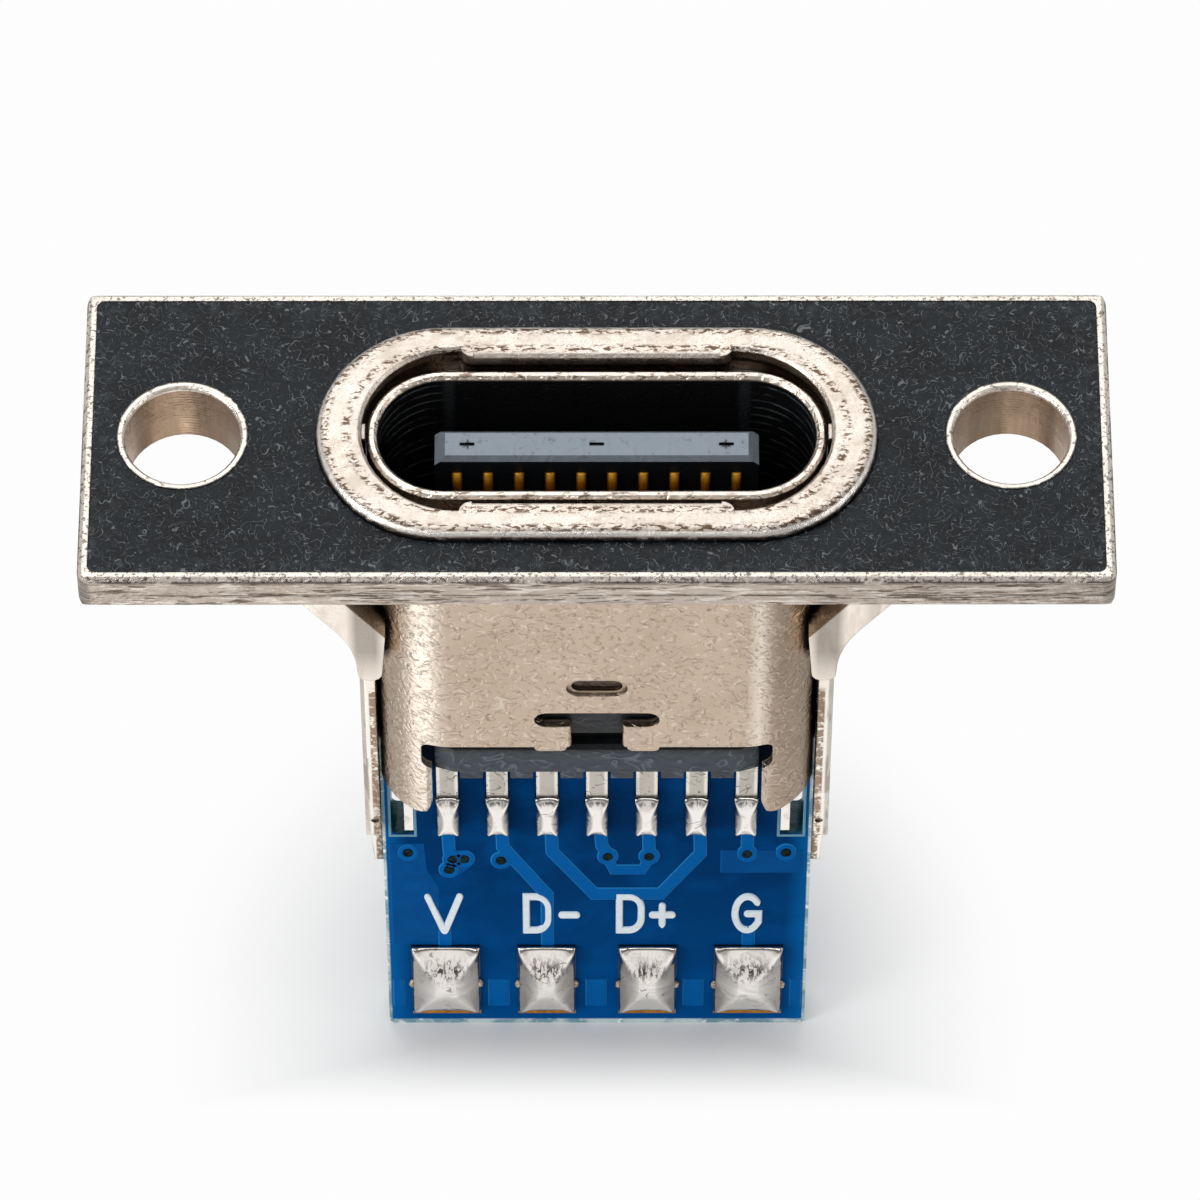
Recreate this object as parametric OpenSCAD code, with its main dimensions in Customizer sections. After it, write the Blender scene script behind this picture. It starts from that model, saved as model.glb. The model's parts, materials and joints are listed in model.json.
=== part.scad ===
// Panel-mount USB-C socket with a screw flange and a four-wire solder board.
// Frame: origin at the centre of the flange's face, on the mating axis.
// +Z points out of the mouth, +X along the flange, and the printed side of the board faces -Y.

/* [Flange plate] */
// Length of the flange plate
plate_len = 19.5; // [18.6:0.1:24]
// Width of the flange plate
plate_wid = 6.65; // [6:0.05:9]
// Thickness of the flange plate
plate_t = 0.9; // [0.8:0.05:1.6]
// Corner radius of the plate, seen from the front
plate_corner_r = 0.25; // [0.1:0.05:0.8]
// Bevel along the plate's front and back edges
plate_bevel = 0.09; // [0.04:0.01:0.2]
// Distance from each screw hole's axis to the plate's end
hole_margin = 1.9; // [1.7:0.05:2.1]
// Diameter of each screw hole
screw_d = 2.2; // [1.8:0.05:2.4]
// Width of the bare ring left around each screw hole
screw_ring = 0.14; // [0.1:0.01:0.3]
// Bevel around the mouth of each screw hole
screw_bevel = 0.05; // [0.02:0.01:0.08]
// Wall of the boss behind each screw hole
boss_wall = 0.55; // [0.4:0.05:0.8]
// Height of the boss behind the plate
boss_h = 0.64; // [0.2:0.02:1]

/* [Face film] */
// Thickness of the black film let into the plate's face
film_t = 0.08; // [0.05:0.01:0.15]
// Depth of the film's surface below the bare rim
film_sink = 0.02; // [0.01:0.005:0.05]
// Width of the bare rim around the film
rim_w = 0.19; // [0.1:0.01:0.4]

/* [Collar] */
// Height of the collar above the plate's face
collar_h = 0.22; // [0.18:0.01:0.5]
// Width of the collar at the two ends
collar_w = 0.86; // [0.6:0.02:1.1]
// Width of the collar along the flats, beside the pads
collar_flat_w = 0.6; // [0.4:0.02:0.8]
// Radius of the collar's rounded outer edge
collar_r = 0.19; // [0.05:0.01:0.2]
// Gap between the collar and the shell at the two ends
collar_end_gap = 0.1; // [0.05:0.01:0.2]
// Gap between the collar and the shell at the corners
collar_corner_gap = 0.36; // [0.2:0.01:0.45]
// Gap between the collar's pads and the shell
pad_gap = 0.2; // [0.05:0.01:0.3]
// Length of each pad on the collar's flats
pad_len = 5.2; // [3:0.1:5.6]
// Corner radius of the pads, seen from the front
pad_r = 0.25; // [0.05:0.01:0.28]
// Depth of the wide part of the opening, down to the close fit
opening_step = 0.45; // [0.2:0.05:0.6]
// Bevel along the inner edge of the collar
collar_bevel = 0.06; // [0.02:0.01:0.1]
// Width of the small locating rib at each end of the opening
rib_w = 0.34; // [0.2:0.02:0.5]
// Depth of the ribs' tops below the collar
rib_sink = 0.1; // [0.04:0.01:0.15]

/* [Shell] */
// Width of the mouth, inside
mouth_w = 8.34; // [8.3:0.01:8.5]
// Height of the mouth, inside
mouth_h = 2.56; // [2.5:0.01:2.7]
// Sheet thickness of the shell
shell_t = 0.2; // [0.15:0.01:0.25]
// How far the lip stands above the plate's face
lip_h = 0.05; // [0:0.01:0.2]
// Bevel on both edges of the lip
lip_bevel = 0.06; // [0.02:0.01:0.08]
// Length of the shell from the face to its middle rear edge
shell_len = 8.6; // [8:0.1:9.5]
// How far the four legs reach past the rear edge
leg_len = 2.6; // [1.6:0.1:3]
// Width between the inner edges of the legs
leg_gap = 6.54; // [6.3:0.02:6.8]
// Radius of the legs' rounded ends
leg_r = 0.42; // [0.2:0.02:0.5]
// Width of the bevel on the legs' inner edges
leg_bevel = 0.14; // [0.05:0.01:0.18]
// Radius of the relief beside the top of each leg
relief_r = 0.2; // [0.1:0.01:0.25]
// Height of the relief between its two round ends
relief_h = 0.45; // [0.2:0.05:0.6]
// Width of the joint line where the rolled sheet meets at the back
seam = 0.04; // [0.02:0.01:0.08]
// Running clearance between metal parts that seat in each other
fit = 0.02; // [0.01:0.005:0.04]

/* [Shell slots] */
// Length of the pressed oval above the locking slot
oval_len = 1.2; // [0.8:0.05:1.6]
// Height of the pressed oval
oval_h = 0.56; // [0.4:0.02:0.8]
// Depth of the pressed oval's rim
oval_rim_d = 0.06; // [0.03:0.01:0.08]
// Depth of the pressed oval's floor
oval_floor_d = 0.13; // [0.1:0.01:0.15]
// Width of the pressed oval's rim
oval_rim_w = 0.1; // [0.05:0.01:0.15]
// Distance from the face to the middle of the oval
oval_z = 6.5; // [6:0.05:6.7]
// Length of the locking slot's cross arms
slot_len = 2.46; // [2:0.02:3]
// Height of the locking slot's cross arms
slot_h = 0.5; // [0.3:0.02:0.6]
// Distance from the face to the locking slot's top
slot_z = 7.38; // [7.2:0.02:7.5]
// Width of the locking slot's open stem
stem_w = 1.2; // [0.8:0.02:1.4]
// How far the two locking feet hang below the rear edge
foot_h = 0.14; // [0.05:0.01:0.2]

/* [Ears and arms] */
// Thickness of each side arm beside the shell
arm_t = 0.27; // [0.2:0.01:0.4]
// Bevel along the outer edges of each arm
arm_bevel = 0.09; // [0.04:0.01:0.12]
// Distance from the end of each front prong to its ejector mark
dimple_z = 0.75; // [0.4:0.05:1.2]
// Diameter of the ejector mark near the end of each arm
dimple_d = 0.16; // [0.1:0.01:0.2]
// Width of each side arm, front to back
arm_wid = 1.3; // [1:0.05:1.8]
// Length of the side arm from the plate's face to its front end
arm_len = 13.35; // [12.6:0.05:13.8]
// How much further the rear prong of the arm reaches
prong_drop = 2.1; // [1:0.1:2.6]
// How far the rear prong's outer side draws in towards its end
prong_taper = 0.12; // [0.05:0.01:0.16]
// Gap between the front prong and the rear prong
prong_gap = 0.2; // [0.1:0.02:0.4]
// Width of the ears, front to back
ear_wid = 2.7; // [2.4:0.05:2.9]
// How far the ears' roots reach across the screw holes' inner edges
ear_lap = 0.75; // [0.5:0.05:0.9]
// Radius that blends each ear into its arm
ear_r = 2.6; // [2:0.1:3.4]
// Wall thickness of the ears, square to their slope
ear_t = 0.68; // [0.5:0.02:0.9]
// Distance from the face to the ears' rounded tips
ear_reach = 6.42; // [6.2:0.02:6.8]
// Height of the ears' round tips, below the end of their curve
ear_tip_h = 0.35; // [0.3:0.01:0.5]
// Height of the solid web between an ear's hollow and its tip
ear_web = 1.5; // [1.2:0.05:1.8]

/* [Insulator] */
// Width of the tongue
tongue_w = 6.16; // [5.9:0.02:6.6]
// Thickness of the tongue
tongue_t = 0.7; // [0.66:0.01:0.8]
// Depth of the tongue's tip behind the face
tip_z = 0.3; // [0.2:0.05:0.8]
// Bevel at the two ends of the tongue's tip
tip_end_bevel = 0.2; // [0.1:0.01:0.3]
// Bevel along the tongue's tip
tip_bevel = 0.09; // [0.04:0.01:0.15]
// Depth of the mouth, from the face to the insulator's floor
mouth_depth = 5.6; // [5.2:0.1:5.8]
// Distance from the face to the underside of the insulator's bar
bar_z = 9.9; // [9.8:0.05:10.2]
// Width of the insulator's bar, front to back
bar_wid = 2.44; // [2.3:0.02:2.5]
// Length of the slanted corner at each end of the bar
bar_bevel = 0.38; // [0.2:0.02:0.45]
// Depth of the bar's slanted corners
bar_bevel_d = 0.12; // [0.05:0.01:0.2]
// Bevel along the bar's top edges
bar_top_bevel = 0.08; // [0.04:0.01:0.12]
// Gap between the shell's rear edge and the bar
bar_gap = 0.42; // [0.2:0.02:0.6]
// Depth of the insulator's neck inside the bar, above the gap
neck_inset = 0.3; // [0.2:0.02:0.4]
// How far the insulator's body ends above the shell's rear edge
body_inset = 0.18; // [0.1:0.02:0.4]
// How far the teeth between the leads hang below the bar
tooth_h = 0.72; // [0.5:0.02:1]
// How far the teeth stand off the board's face
tooth_t = 0.5; // [0.3:0.02:0.7]
// Clearance between a tooth and the leads beside it
tooth_gap = 0.06; // [0.04:0.01:0.1]
// Distance between the moulding gate marks on the tongue's tip
gate_pitch = 2.46; // [2:0.02:2.7]
// Length of each gate mark
gate_len = 0.28; // [0.1:0.02:0.4]
// Width and depth of each gate mark
gate_w = 0.07; // [0.04:0.01:0.1]

/* [Contacts] */
// Distance between neighbouring leads
lead_pitch = 1; // [0.96:0.01:1.04]
// Width of each lead
lead_w = 0.43; // [0.36:0.01:0.46]
// Distance between neighbouring fingers on the tongue
finger_pitch = 0.59; // [0.56:0.01:0.61]
// Width of each finger
finger_w = 0.2; // [0.16:0.01:0.24]
// Sheet thickness of the contacts
contact_t = 0.12; // [0.1:0.01:0.14]
// Distance from the face to the tips of the fingers
finger_z = 0.74; // [0.6:0.02:1]
// Depth from the face to the ends of the leads
lead_z = 12.9; // [12.4:0.05:13]
// Stand-off of the lead above the board's face
lead_lift = 0.04; // [0.01:0.01:0.08]
// How far the fingers stand proud of the tongue
finger_proud = 0.02; // [0.01:0.005:0.04]
// Depth of the cross bar that joins two fingers
fan_pair_z = 6; // [5.8:0.05:6.2]
// Depth of the cross bar that offsets one finger
fan_single_z = 6.7; // [6.5:0.05:6.9]
// Height of each cross bar
fan_h = 0.35; // [0.2:0.05:0.4]
// Height of the leads' outward bend above the bar's underside
bend_h = 0.6; // [0.4:0.05:0.8]

/* [Centre plate] */
// Thickness of the steel plate inside the tongue
centre_t = 0.15; // [0.1:0.01:0.2]
// Width of the centre plate
centre_w = 5.8; // [5.4:0.05:5.85]
// Depth of the latch notches in the plate's edges
latch_depth = 0.35; // [0.2:0.05:0.5]
// Distance from the face to the middle of the latch notches
latch_z = 2.9; // [2.6:0.05:3.2]
// Height of the latch notches at their floor
latch_h = 0.6; // [0.4:0.05:0.8]
// Height of the slope at each end of a notch
latch_slope = 0.15; // [0.05:0.01:0.3]
// Moulding over the plate's front edge
centre_front = 0.35; // [0.2:0.05:0.5]
// Moulding under the plate's rear edge
centre_rear = 0.5; // [0.3:0.05:0.8]
// Corner bevel at the plate's front edge
centre_bevel = 0.2; // [0.1:0.02:0.3]

/* [Board] */
// Width of the board
board_w = 8.68; // [8.5:0.01:8.72]
// Thickness of the board
board_t = 0.8; // [0.7:0.05:0.9]
// Distance from the face to the board's lower end
board_z = 20.9; // [20.5:0.1:24]
// Corner radius at the board's lower end
board_r = 0.14; // [0.05:0.01:0.3]
// Width of the plated slot beside each leg
anchor_w = 0.46; // [0.3:0.01:0.5]
// Distance between the two plated slots
anchor_pitch = 7.86; // [7.7:0.02:7.9]
// Depth from the face to the lower end of the plated slots
anchor_z = 13.5; // [13.2:0.05:13.6]
// Length of the plated slots
anchor_len = 1.8; // [1:0.1:2]
// Thickness of the solder along the inner side of each plated slot
anchor_fill = 0.18; // [0.1:0.01:0.24]
// Diameter of the small through holes
via_d = 0.2; // [0.15:0.01:0.24]
// Grid that the small through holes are laid out on
via_grid = 0.1; // [0.095:0.001:0.11]
// Distance from the lead ends to the first row of through holes
via_gap = 1.3; // [1.1:0.05:1.5]

/* [Solder] */
// Distance between neighbouring wire pads
wire_pitch = 2.09; // [1.9:0.01:2.12]
// Width of the two outer wire pads
wire_outer_w = 1.42; // [1.2:0.02:1.5]
// Width of the two inner wire pads
wire_inner_w = 1.2; // [1:0.02:1.4]
// Length of the wire pads
wire_len = 2.68; // [2:0.02:3]
// Margin between the wire pads and the board's lower end
wire_margin = 0.44; // [0.2:0.02:0.6]
// Thickness of the wire pads' plating
wire_t = 0.035; // [0.02:0.005:0.06]
// Bare strip of plating below each solder pillow
wire_bare = 0.16; // [0.05:0.01:0.3]
// Height of the solder pillow on each wire pad
pillow_h = 0.3; // [0.15:0.01:0.4]
// Height of the solder pillow at its edge
pillow_rim = 0.03; // [0.01:0.005:0.05]
// Share of the pillow's width that its sides draw in by
pillow_pinch = 0.02; // [0:0.01:0.1]
// Length of the solder on each lead
joint_len = 1.42; // [1.2:0.02:1.6]
// How far the solder reaches past the ends of the leads
joint_past = 0.38; // [0.2:0.02:0.5]
// How much wider the solder is than its lead
joint_grow = 0.06; // [0.02:0.01:0.1]
// Height of the solder on each lead, above the board
joint_h = 0.34; // [0.3:0.01:0.42]
// Height of the solder on each lead at its edge
joint_rim = 0.05; // [0.02:0.01:0.08]
// Share of the joint's width that its sides draw in by
joint_pinch = 0.16; // [0:0.01:0.3]

/* [Hidden] */
LEADS = 7;
$fn = 48;
over = 1;                                   // how far a cut runs past the solid it cuts

mouth_r = mouth_h / 2;
shell_hw = mouth_w / 2 + shell_t;           // half width of the shell, outside
shell_hh = mouth_r + shell_t;               // half height of the shell, outside
collar_hw = shell_hw + collar_end_gap + collar_w;
collar_hh = shell_hh + collar_corner_gap + collar_flat_w;
opening_hw = shell_hw + collar_end_gap;
opening_hh = shell_hh + collar_corner_gap;
arm_in = board_w / 2 + fit;                 // inner face of each arm, beside the board
arm_out = max(shell_hw, board_w / 2) + fit + arm_t;
screw_pitch = plate_len - 2 * hole_margin;
screw_r = screw_d / 2;
ring_r = screw_r + screw_ring;
recess = film_t + film_sink;
board_top = bar_z + fit;
board_hy = board_t / 2;
tooth_w = lead_pitch - lead_w - 2 * tooth_gap;
tongue_hy = tongue_t / 2;
// Each lead carries one or two fingers of the tongue's row of ten.
FINGERS = [[0, 1], [2], [3], [4, 5], [6], [7], [8, 9]];
wire_z = board_z - wire_margin;             // depth of the wire pads' lower edge

function finger_x(j) = (j - 4.5) * finger_pitch;
function lead_x(i) = (i - 3) * lead_pitch;
function wire_x(i) = (i - 1.5) * wire_pitch;
function wire_w(i) = (i == 0 || i == 3) ? wire_outer_w : wire_inner_w;

// ---------- shared shapes ----------

// Box given by its lowest and highest corners.
module span(lo, hi) {
    translate(lo) cube(hi - lo);
}

// Outline with two round ends, hw half wide and hh half high.
module oval(hw, hh) {
    square([2 * (hw - hh), 2 * hh], center = true);
    for (s = [-1, 1]) translate([s * (hw - hh), 0]) circle(hh);
}

module oval_prism(hw, hh, z0, z1) {
    translate([0, 0, z0]) linear_extrude(z1 - z0) oval(hw, hh);
}

// Oval prism that grows by grow between z0 and z1; a negative grow draws it in.
module oval_flare(hw, hh, z0, z1, grow) {
    straight = hw - hh;
    for (s = [-1, 1]) translate([s * straight, 0, z0]) cylinder(h = z1 - z0, r1 = hh, r2 = hh + grow);
    along_x(-straight, straight) polygon([[-hh, z0], [hh, z0], [hh + grow, z1], [-hh - grow, z1]]);
}

// Half section of the collar: flat base at z0, rounded outer top edge.
module bead_section(hh, z0, z1, r) {
    square_h = z1 - z0;
    translate([0, z0]) square([hh - r, square_h]);
    translate([0, z0]) square([hh, square_h - r]);
    translate([hh - r, z1 - r]) circle(r);
}

// Oval disc whose top edge is rounded all the way round.
module oval_bead(hw, hh, z0, z1, r) {
    straight = hw - hh;
    for (s = [-1, 1]) translate([s * straight, 0, 0]) rotate_extrude() bead_section(hh, z0, z1, r);
    rotate([90, 0, 90]) translate([0, 0, -straight]) linear_extrude(2 * straight) {
        bead_section(hh, z0, z1, r);
        mirror([1, 0]) bead_section(hh, z0, z1, r);
    }
}

// Rectangle with round corners.
module round_rect(w, h, r) {
    square([w - 2 * r, h], center = true);
    square([w, h - 2 * r], center = true);
    for (x = [-1, 1], y = [-1, 1]) translate([x * (w / 2 - r), y * (h / 2 - r)]) circle(r);
}

// Rectangle from z0 to z1, half wide hw, with its four corners bevelled by b.
module bevel_rect(hw, z0, z1, b) {
    polygon([
        [-hw + b, z0], [hw - b, z0], [hw, z0 + b], [hw, z1 - b],
        [hw - b, z1], [-hw + b, z1], [-hw, z1 - b], [-hw, z0 + b]
    ]);
}

// Extrudes an XZ outline along Y, from y0 to y1.
module along_y(y0, y1) {
    translate([0, y1, 0]) rotate([90, 0, 0]) linear_extrude(y1 - y0) children();
}

// Extrudes a YZ outline along X, from x0 to x1.
module along_x(x0, x1) {
    translate([x0, 0, 0]) rotate([90, 0, 90]) linear_extrude(x1 - x0) children();
}

// Solder that wets a rectangle w by len: sides pinched by pinch, height h above its rim.
// The height falls off as (1 - |u|^3)(1 - |v|^4) across and along the pad.
module solder(w, len, h, rim, pinch, n, m) {
    us = [for (i = [0:n]) 2 * i / n - 1];
    vs = [for (j = [0:m]) 2 * j / m - 1];
    function half(v) = w / 2 * (1 - pinch * (1 - v * v));
    function top(u, v) = rim + (h - rim) * (1 - pow(abs(u), 3)) * (1 - pow(abs(v), 4));
    count = (n + 1) * (m + 1);
    pts = concat(
        [for (v = vs, u = us) [u * half(v), -top(u, v), v * len / 2]],
        [for (v = vs, u = us) [u * half(v), 0, v * len / 2]]
    );
    function id(i, j) = j * (n + 1) + i;
    faces = concat(
        [for (j = [0:m - 1], i = [0:n - 1]) each [
            [id(i, j), id(i, j + 1), id(i + 1, j + 1)], [id(i, j), id(i + 1, j + 1), id(i + 1, j)]]],
        [for (j = [0:m - 1], i = [0:n - 1]) each [
            [count + id(i, j), count + id(i + 1, j + 1), count + id(i, j + 1)],
            [count + id(i, j), count + id(i + 1, j), count + id(i + 1, j + 1)]]],
        [for (i = [0:n - 1]) [id(i, 0), id(i + 1, 0), count + id(i + 1, 0), count + id(i, 0)]],
        [for (i = [0:n - 1]) [id(i + 1, m), id(i, m), count + id(i, m), count + id(i + 1, m)]],
        [for (j = [0:m - 1]) [id(0, j + 1), id(0, j), count + id(0, j), count + id(0, j + 1)]],
        [for (j = [0:m - 1]) [id(n, j), id(n, j + 1), count + id(n, j + 1), count + id(n, j)]]
    );
    polyhedron(pts, faces);
}

// ---------- flange ----------

module plate_blank() {
    intersection() {
        translate([0, 0, -plate_t]) linear_extrude(plate_t) round_rect(plate_len, plate_wid, plate_corner_r);
        along_y(-plate_wid, plate_wid) bevel_rect(plate_len / 2, -plate_t, 0, plate_bevel);
        along_x(-plate_len, plate_len) bevel_rect(plate_wid / 2, -plate_t, 0, plate_bevel);
    }
}

// Ear: leaves the plate's back beside the screw hole, on the line that runs tangent into the
// curve of its outer side; that curve ends in the arm's outer face, and the tip is round.
module ear_outline() {
    centre = [arm_out + ear_r, -ear_reach + ear_tip_h];
    root = [screw_pitch / 2 - screw_r + ear_lap, -plate_t] - centre;
    slope = atan2(root.x, root.y) + asin(ear_r / norm(root));
    bend = centre + ear_r * [-cos(slope), sin(slope)];
    step = ear_t / cos(slope);
    top = [bend.x + (-plate_t / 2 - bend.y) * tan(slope), -plate_t / 2];
    apex_z = -ear_reach + ear_web;
    apex = [bend.x + (apex_z - bend.y) * tan(slope) - step, apex_z];
    tip_r = min((arm_out - apex.x) / 2, ear_tip_h) - 2 * fit;
    polygon(concat(
        [top],
        [for (k = [0:8]) let (a = slope * (1 - k / 8)) centre + ear_r * [-cos(a), sin(a)]],
        [for (k = [1:8]) let (a = 180 * k / 8)
            [arm_out - tip_r + tip_r * cos(a), -ear_reach + tip_r - tip_r * sin(a)]],
        [apex, top - [step, 0]]
    ));
}

// Width of each prong of an arm, front to back.
prong_w = (arm_wid - prong_gap) / 2;

// Side arm seen from the side: a front prong with a round end and a longer rear prong.
module arm_outline() {
    r = prong_w / 2;
    edge = arm_wid / 2;
    translate([-edge, -arm_len + r]) square([arm_wid, arm_len - r - plate_t / 2]);
    translate([-edge + r, -arm_len + r]) circle(r);
    translate([edge - prong_w, -arm_len - prong_drop + r]) square([prong_w, prong_drop + r]);
    translate([edge - r, -arm_len - prong_drop + r]) circle(r);
}

// Prong seen from the front: its end at low is round, and its outer side draws in by taper
// over the last drop above that end.
module prong_front(low, drop, taper) {
    r = (arm_out - arm_in - taper) / 2;
    translate([arm_in + r, low + r]) circle(r);
    polygon([
        [arm_in, 0], [arm_out, 0], [arm_out, low + drop],
        [arm_out - taper, low + r], [arm_in, low + r]]);
}

// Side arm: its side view, its front views and its bevelled plan, intersected.
module arm() {
    low = -arm_len - prong_drop;
    edge = arm_wid / 2;
    difference() {
        intersection() {
            along_x(arm_in, arm_out) arm_outline();
            union() {
                along_y(-arm_wid, 0) prong_front(-arm_len, (arm_out - arm_in) / 2, 0);
                along_y(0, arm_wid) prong_front(low, prong_drop, prong_taper);
            }
            translate([0, 0, low - over]) linear_extrude(-low + over) polygon([
                [arm_in, -edge], [arm_out - arm_bevel, -edge], [arm_out, -edge + arm_bevel],
                [arm_out, edge - arm_bevel], [arm_out - arm_bevel, edge], [arm_in, edge]]);
        }
        along_y(-edge - over, -edge + dimple_d / 4)
            translate([(arm_in + arm_out - arm_bevel) / 2, -arm_len + dimple_z]) circle(dimple_d / 2);
    }
}

// What is cut from the top edge of one pad to bevel it.
module pad_bevel() {
    y = shell_hh + pad_gap;
    half = pad_len / 2 - pad_r;
    b = collar_bevel;
    along_x(-half, half)
        polygon([[y - b, collar_h - 2 * b], [y + 2 * b, collar_h + b], [y - b, collar_h + b]]);
}

module flange() color("tan") {
    difference() {
        union() {
            plate_blank();
            oval_bead(collar_hw, collar_hh, -plate_t / 2, collar_h, collar_r);
            for (s = [-1, 1]) translate([s * screw_pitch / 2, 0, -plate_t - boss_h])
                cylinder(h = boss_h + plate_t / 2, r = screw_r + boss_wall);
            for (s = [0, 1]) mirror([s, 0, 0]) {
                along_y(-ear_wid / 2, ear_wid / 2) ear_outline();
                arm();
            }
        }
        // shallow recess for the film, around the collar and the screw rings
        difference() {
            translate([0, 0, -recess]) linear_extrude(recess + over)
                round_rect(plate_len - 2 * rim_w, plate_wid - 2 * rim_w, plate_corner_r - plate_bevel);
            oval_bead(collar_hw, collar_hh, -plate_t / 2, collar_h + 2 * over, collar_r);
            for (s = [-1, 1]) translate([s * screw_pitch / 2, 0, -plate_t])
                cylinder(h = plate_t + 2 * over, r = ring_r);
        }
        // oval opening: wide at the corners, with a pad left on each flat, then a close fit
        difference() {
            union() {
                oval_prism(opening_hw, opening_hh, -opening_step, collar_h + over);
                oval_flare(opening_hw, opening_hh, collar_h - collar_bevel, collar_h + collar_bevel,
                    2 * collar_bevel);
            }
            for (s = [-1, 1]) translate([0, s * (shell_hh + pad_gap + collar_flat_w / 2), -over])
                linear_extrude(2 * over + collar_h) round_rect(pad_len, collar_flat_w, pad_r);
        }
        for (s = [0, 1]) mirror([0, s, 0]) pad_bevel();
        oval_prism(shell_hw + fit, shell_hh + fit, -shell_len - leg_len - over, collar_h + over);
        for (s = [-1, 1]) translate([s * screw_pitch / 2, 0, -ear_reach])
            cylinder(h = ear_reach - plate_t - boss_h, r = screw_r + boss_wall);
        for (s = [-1, 1]) translate([s * screw_pitch / 2, 0, -plate_t - boss_h - over])
            cylinder(h = plate_t + boss_h + 2 * over, r = screw_r);
        for (s = [-1, 1]) translate([s * screw_pitch / 2, 0, -screw_bevel])
            cylinder(h = 2 * screw_bevel, r1 = screw_r, r2 = screw_r + 2 * screw_bevel);
    }
    // small rib at each end of the opening, that holds the shell in the middle
    for (s = [0, 1]) mirror([s, 0, 0])
        span([shell_hw + fit, -rib_w / 2, -opening_step - over / 10],
            [opening_hw + collar_w / 4, rib_w / 2, collar_h - rib_sink]);
}

module face_film() color([0.09, 0.1, 0.11]) {
    gap = fit / 2;
    translate([0, 0, -recess]) linear_extrude(film_t) difference() {
        round_rect(plate_len - 2 * rim_w - 2 * gap, plate_wid - 2 * rim_w - 2 * gap,
            plate_corner_r - plate_bevel);
        oval(collar_hw + gap, collar_hh + gap);
        for (s = [-1, 1]) translate([s * screw_pitch / 2, 0]) circle(ring_r + gap);
    }
}

// ---------- shell ----------

// Opening between the legs, with a round relief at each upper corner.
module leg_window() {
    half = leg_gap / 2;
    translate([-half, -shell_len - leg_len - over]) square([leg_gap, leg_len + over]);
    for (s = [-1, 1]) {
        translate([s * half, -shell_len - relief_r]) circle(relief_r);
        translate([s * half, -shell_len - relief_r - relief_h]) circle(relief_r);
        translate([s * half - relief_r, -shell_len - relief_r - relief_h]) square([2 * relief_r, relief_h]);
    }
}

// What is cut away below the legs to leave their ends round.
module leg_ends() {
    low = -shell_len - leg_len;
    inner = leg_gap / 2;
    difference() {
        translate([-shell_hw - over, low - over]) square([2 * (shell_hw + over), over + leg_r]);
        for (s = [-1, 1]) {
            translate([s * (inner + leg_r), low + leg_r]) circle(leg_r);
            translate([s > 0 ? inner + leg_r : -shell_hw - over, low])
                square([shell_hw + over - inner - leg_r, 2 * leg_r]);
        }
    }
}

module locking_slot() {
    r = slot_h / 2;
    translate([0, -slot_z - r]) oval(slot_len / 2, r);
    translate([-stem_w / 2, -shell_len - over]) square([stem_w, shell_len + over - slot_z - r]);
}

// Foot beside the slot's stem: hangs a little below the shell's rear edge.
module locking_feet() {
    foot_w = (slot_len - stem_w) / 2;
    for (s = [-1, 1]) translate([s * (stem_w + foot_w) / 2, -shell_len])
        round_rect(foot_w, 2 * foot_h, foot_h - fit);
}

// What is cut from one leg to bevel its inner edge on the outside.
module leg_edge() {
    x = leg_gap / 2;
    y = -sqrt(pow(shell_hh, 2) - pow(max(0, x - shell_hw + shell_hh), 2));
    translate([0, 0, -shell_len - leg_len - over])
        linear_extrude(leg_len + over - 2 * relief_r - relief_h) polygon([
            [x - over, y - over], [x + leg_bevel + over, y - over], [x - over, y + leg_bevel + over]]);
}

module shell() color("wheat") {
    low = -shell_len - leg_len;
    difference() {
        union() {
            difference() {
                union() {
                    oval_prism(shell_hw, shell_hh, low, lip_h - lip_bevel);
                    oval_flare(shell_hw, shell_hh, lip_h - lip_bevel, lip_h, -lip_bevel);
                }
                oval_prism(mouth_w / 2, mouth_r, low - over, lip_h + over);
                oval_flare(mouth_w / 2, mouth_r, lip_h - lip_bevel, lip_h + lip_bevel, 2 * lip_bevel);
                along_y(-shell_hh - over, shell_hh + over) leg_window();
                along_y(-shell_hh - over, shell_hh + over) leg_ends();
                along_y(-shell_hh - over, -mouth_r / 2) locking_slot();
            }
            along_y(-shell_hh, -mouth_r) locking_feet();
            // round edges of the two tabs beside the stem
            for (s = [-1, 1]) translate([s * stem_w / 2, -shell_hh + shell_t / 2, -shell_len])
                cylinder(h = shell_len - slot_z - slot_h, r = shell_t / 2);
        }
        // pressed oval: a wide dish and a deeper middle
        along_y(-shell_hh - over, -shell_hh + oval_rim_d) translate([0, -oval_z])
            oval(oval_len / 2, oval_h / 2);
        along_y(-shell_hh - over, -shell_hh + oval_floor_d) translate([0, -oval_z])
            oval(oval_len / 2 - oval_rim_w, oval_h / 2 - oval_rim_w);
        // joint line at the back, half as deep as the sheet
        span([-seam / 2, shell_hh - shell_t / 2, low - over], [seam / 2, shell_hh + over, -plate_t]);
        for (sx = [0, 1], sy = [0, 1]) mirror([sx, 0, 0]) mirror([0, sy, 0]) leg_edge();
        // room for the board between the front and the back legs
        span([-shell_hw - over, -board_hy - fit, low - over],
            [shell_hw + over, board_hy + fit, -board_top + fit]);
    }
}

// ---------- insulator ----------

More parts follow.
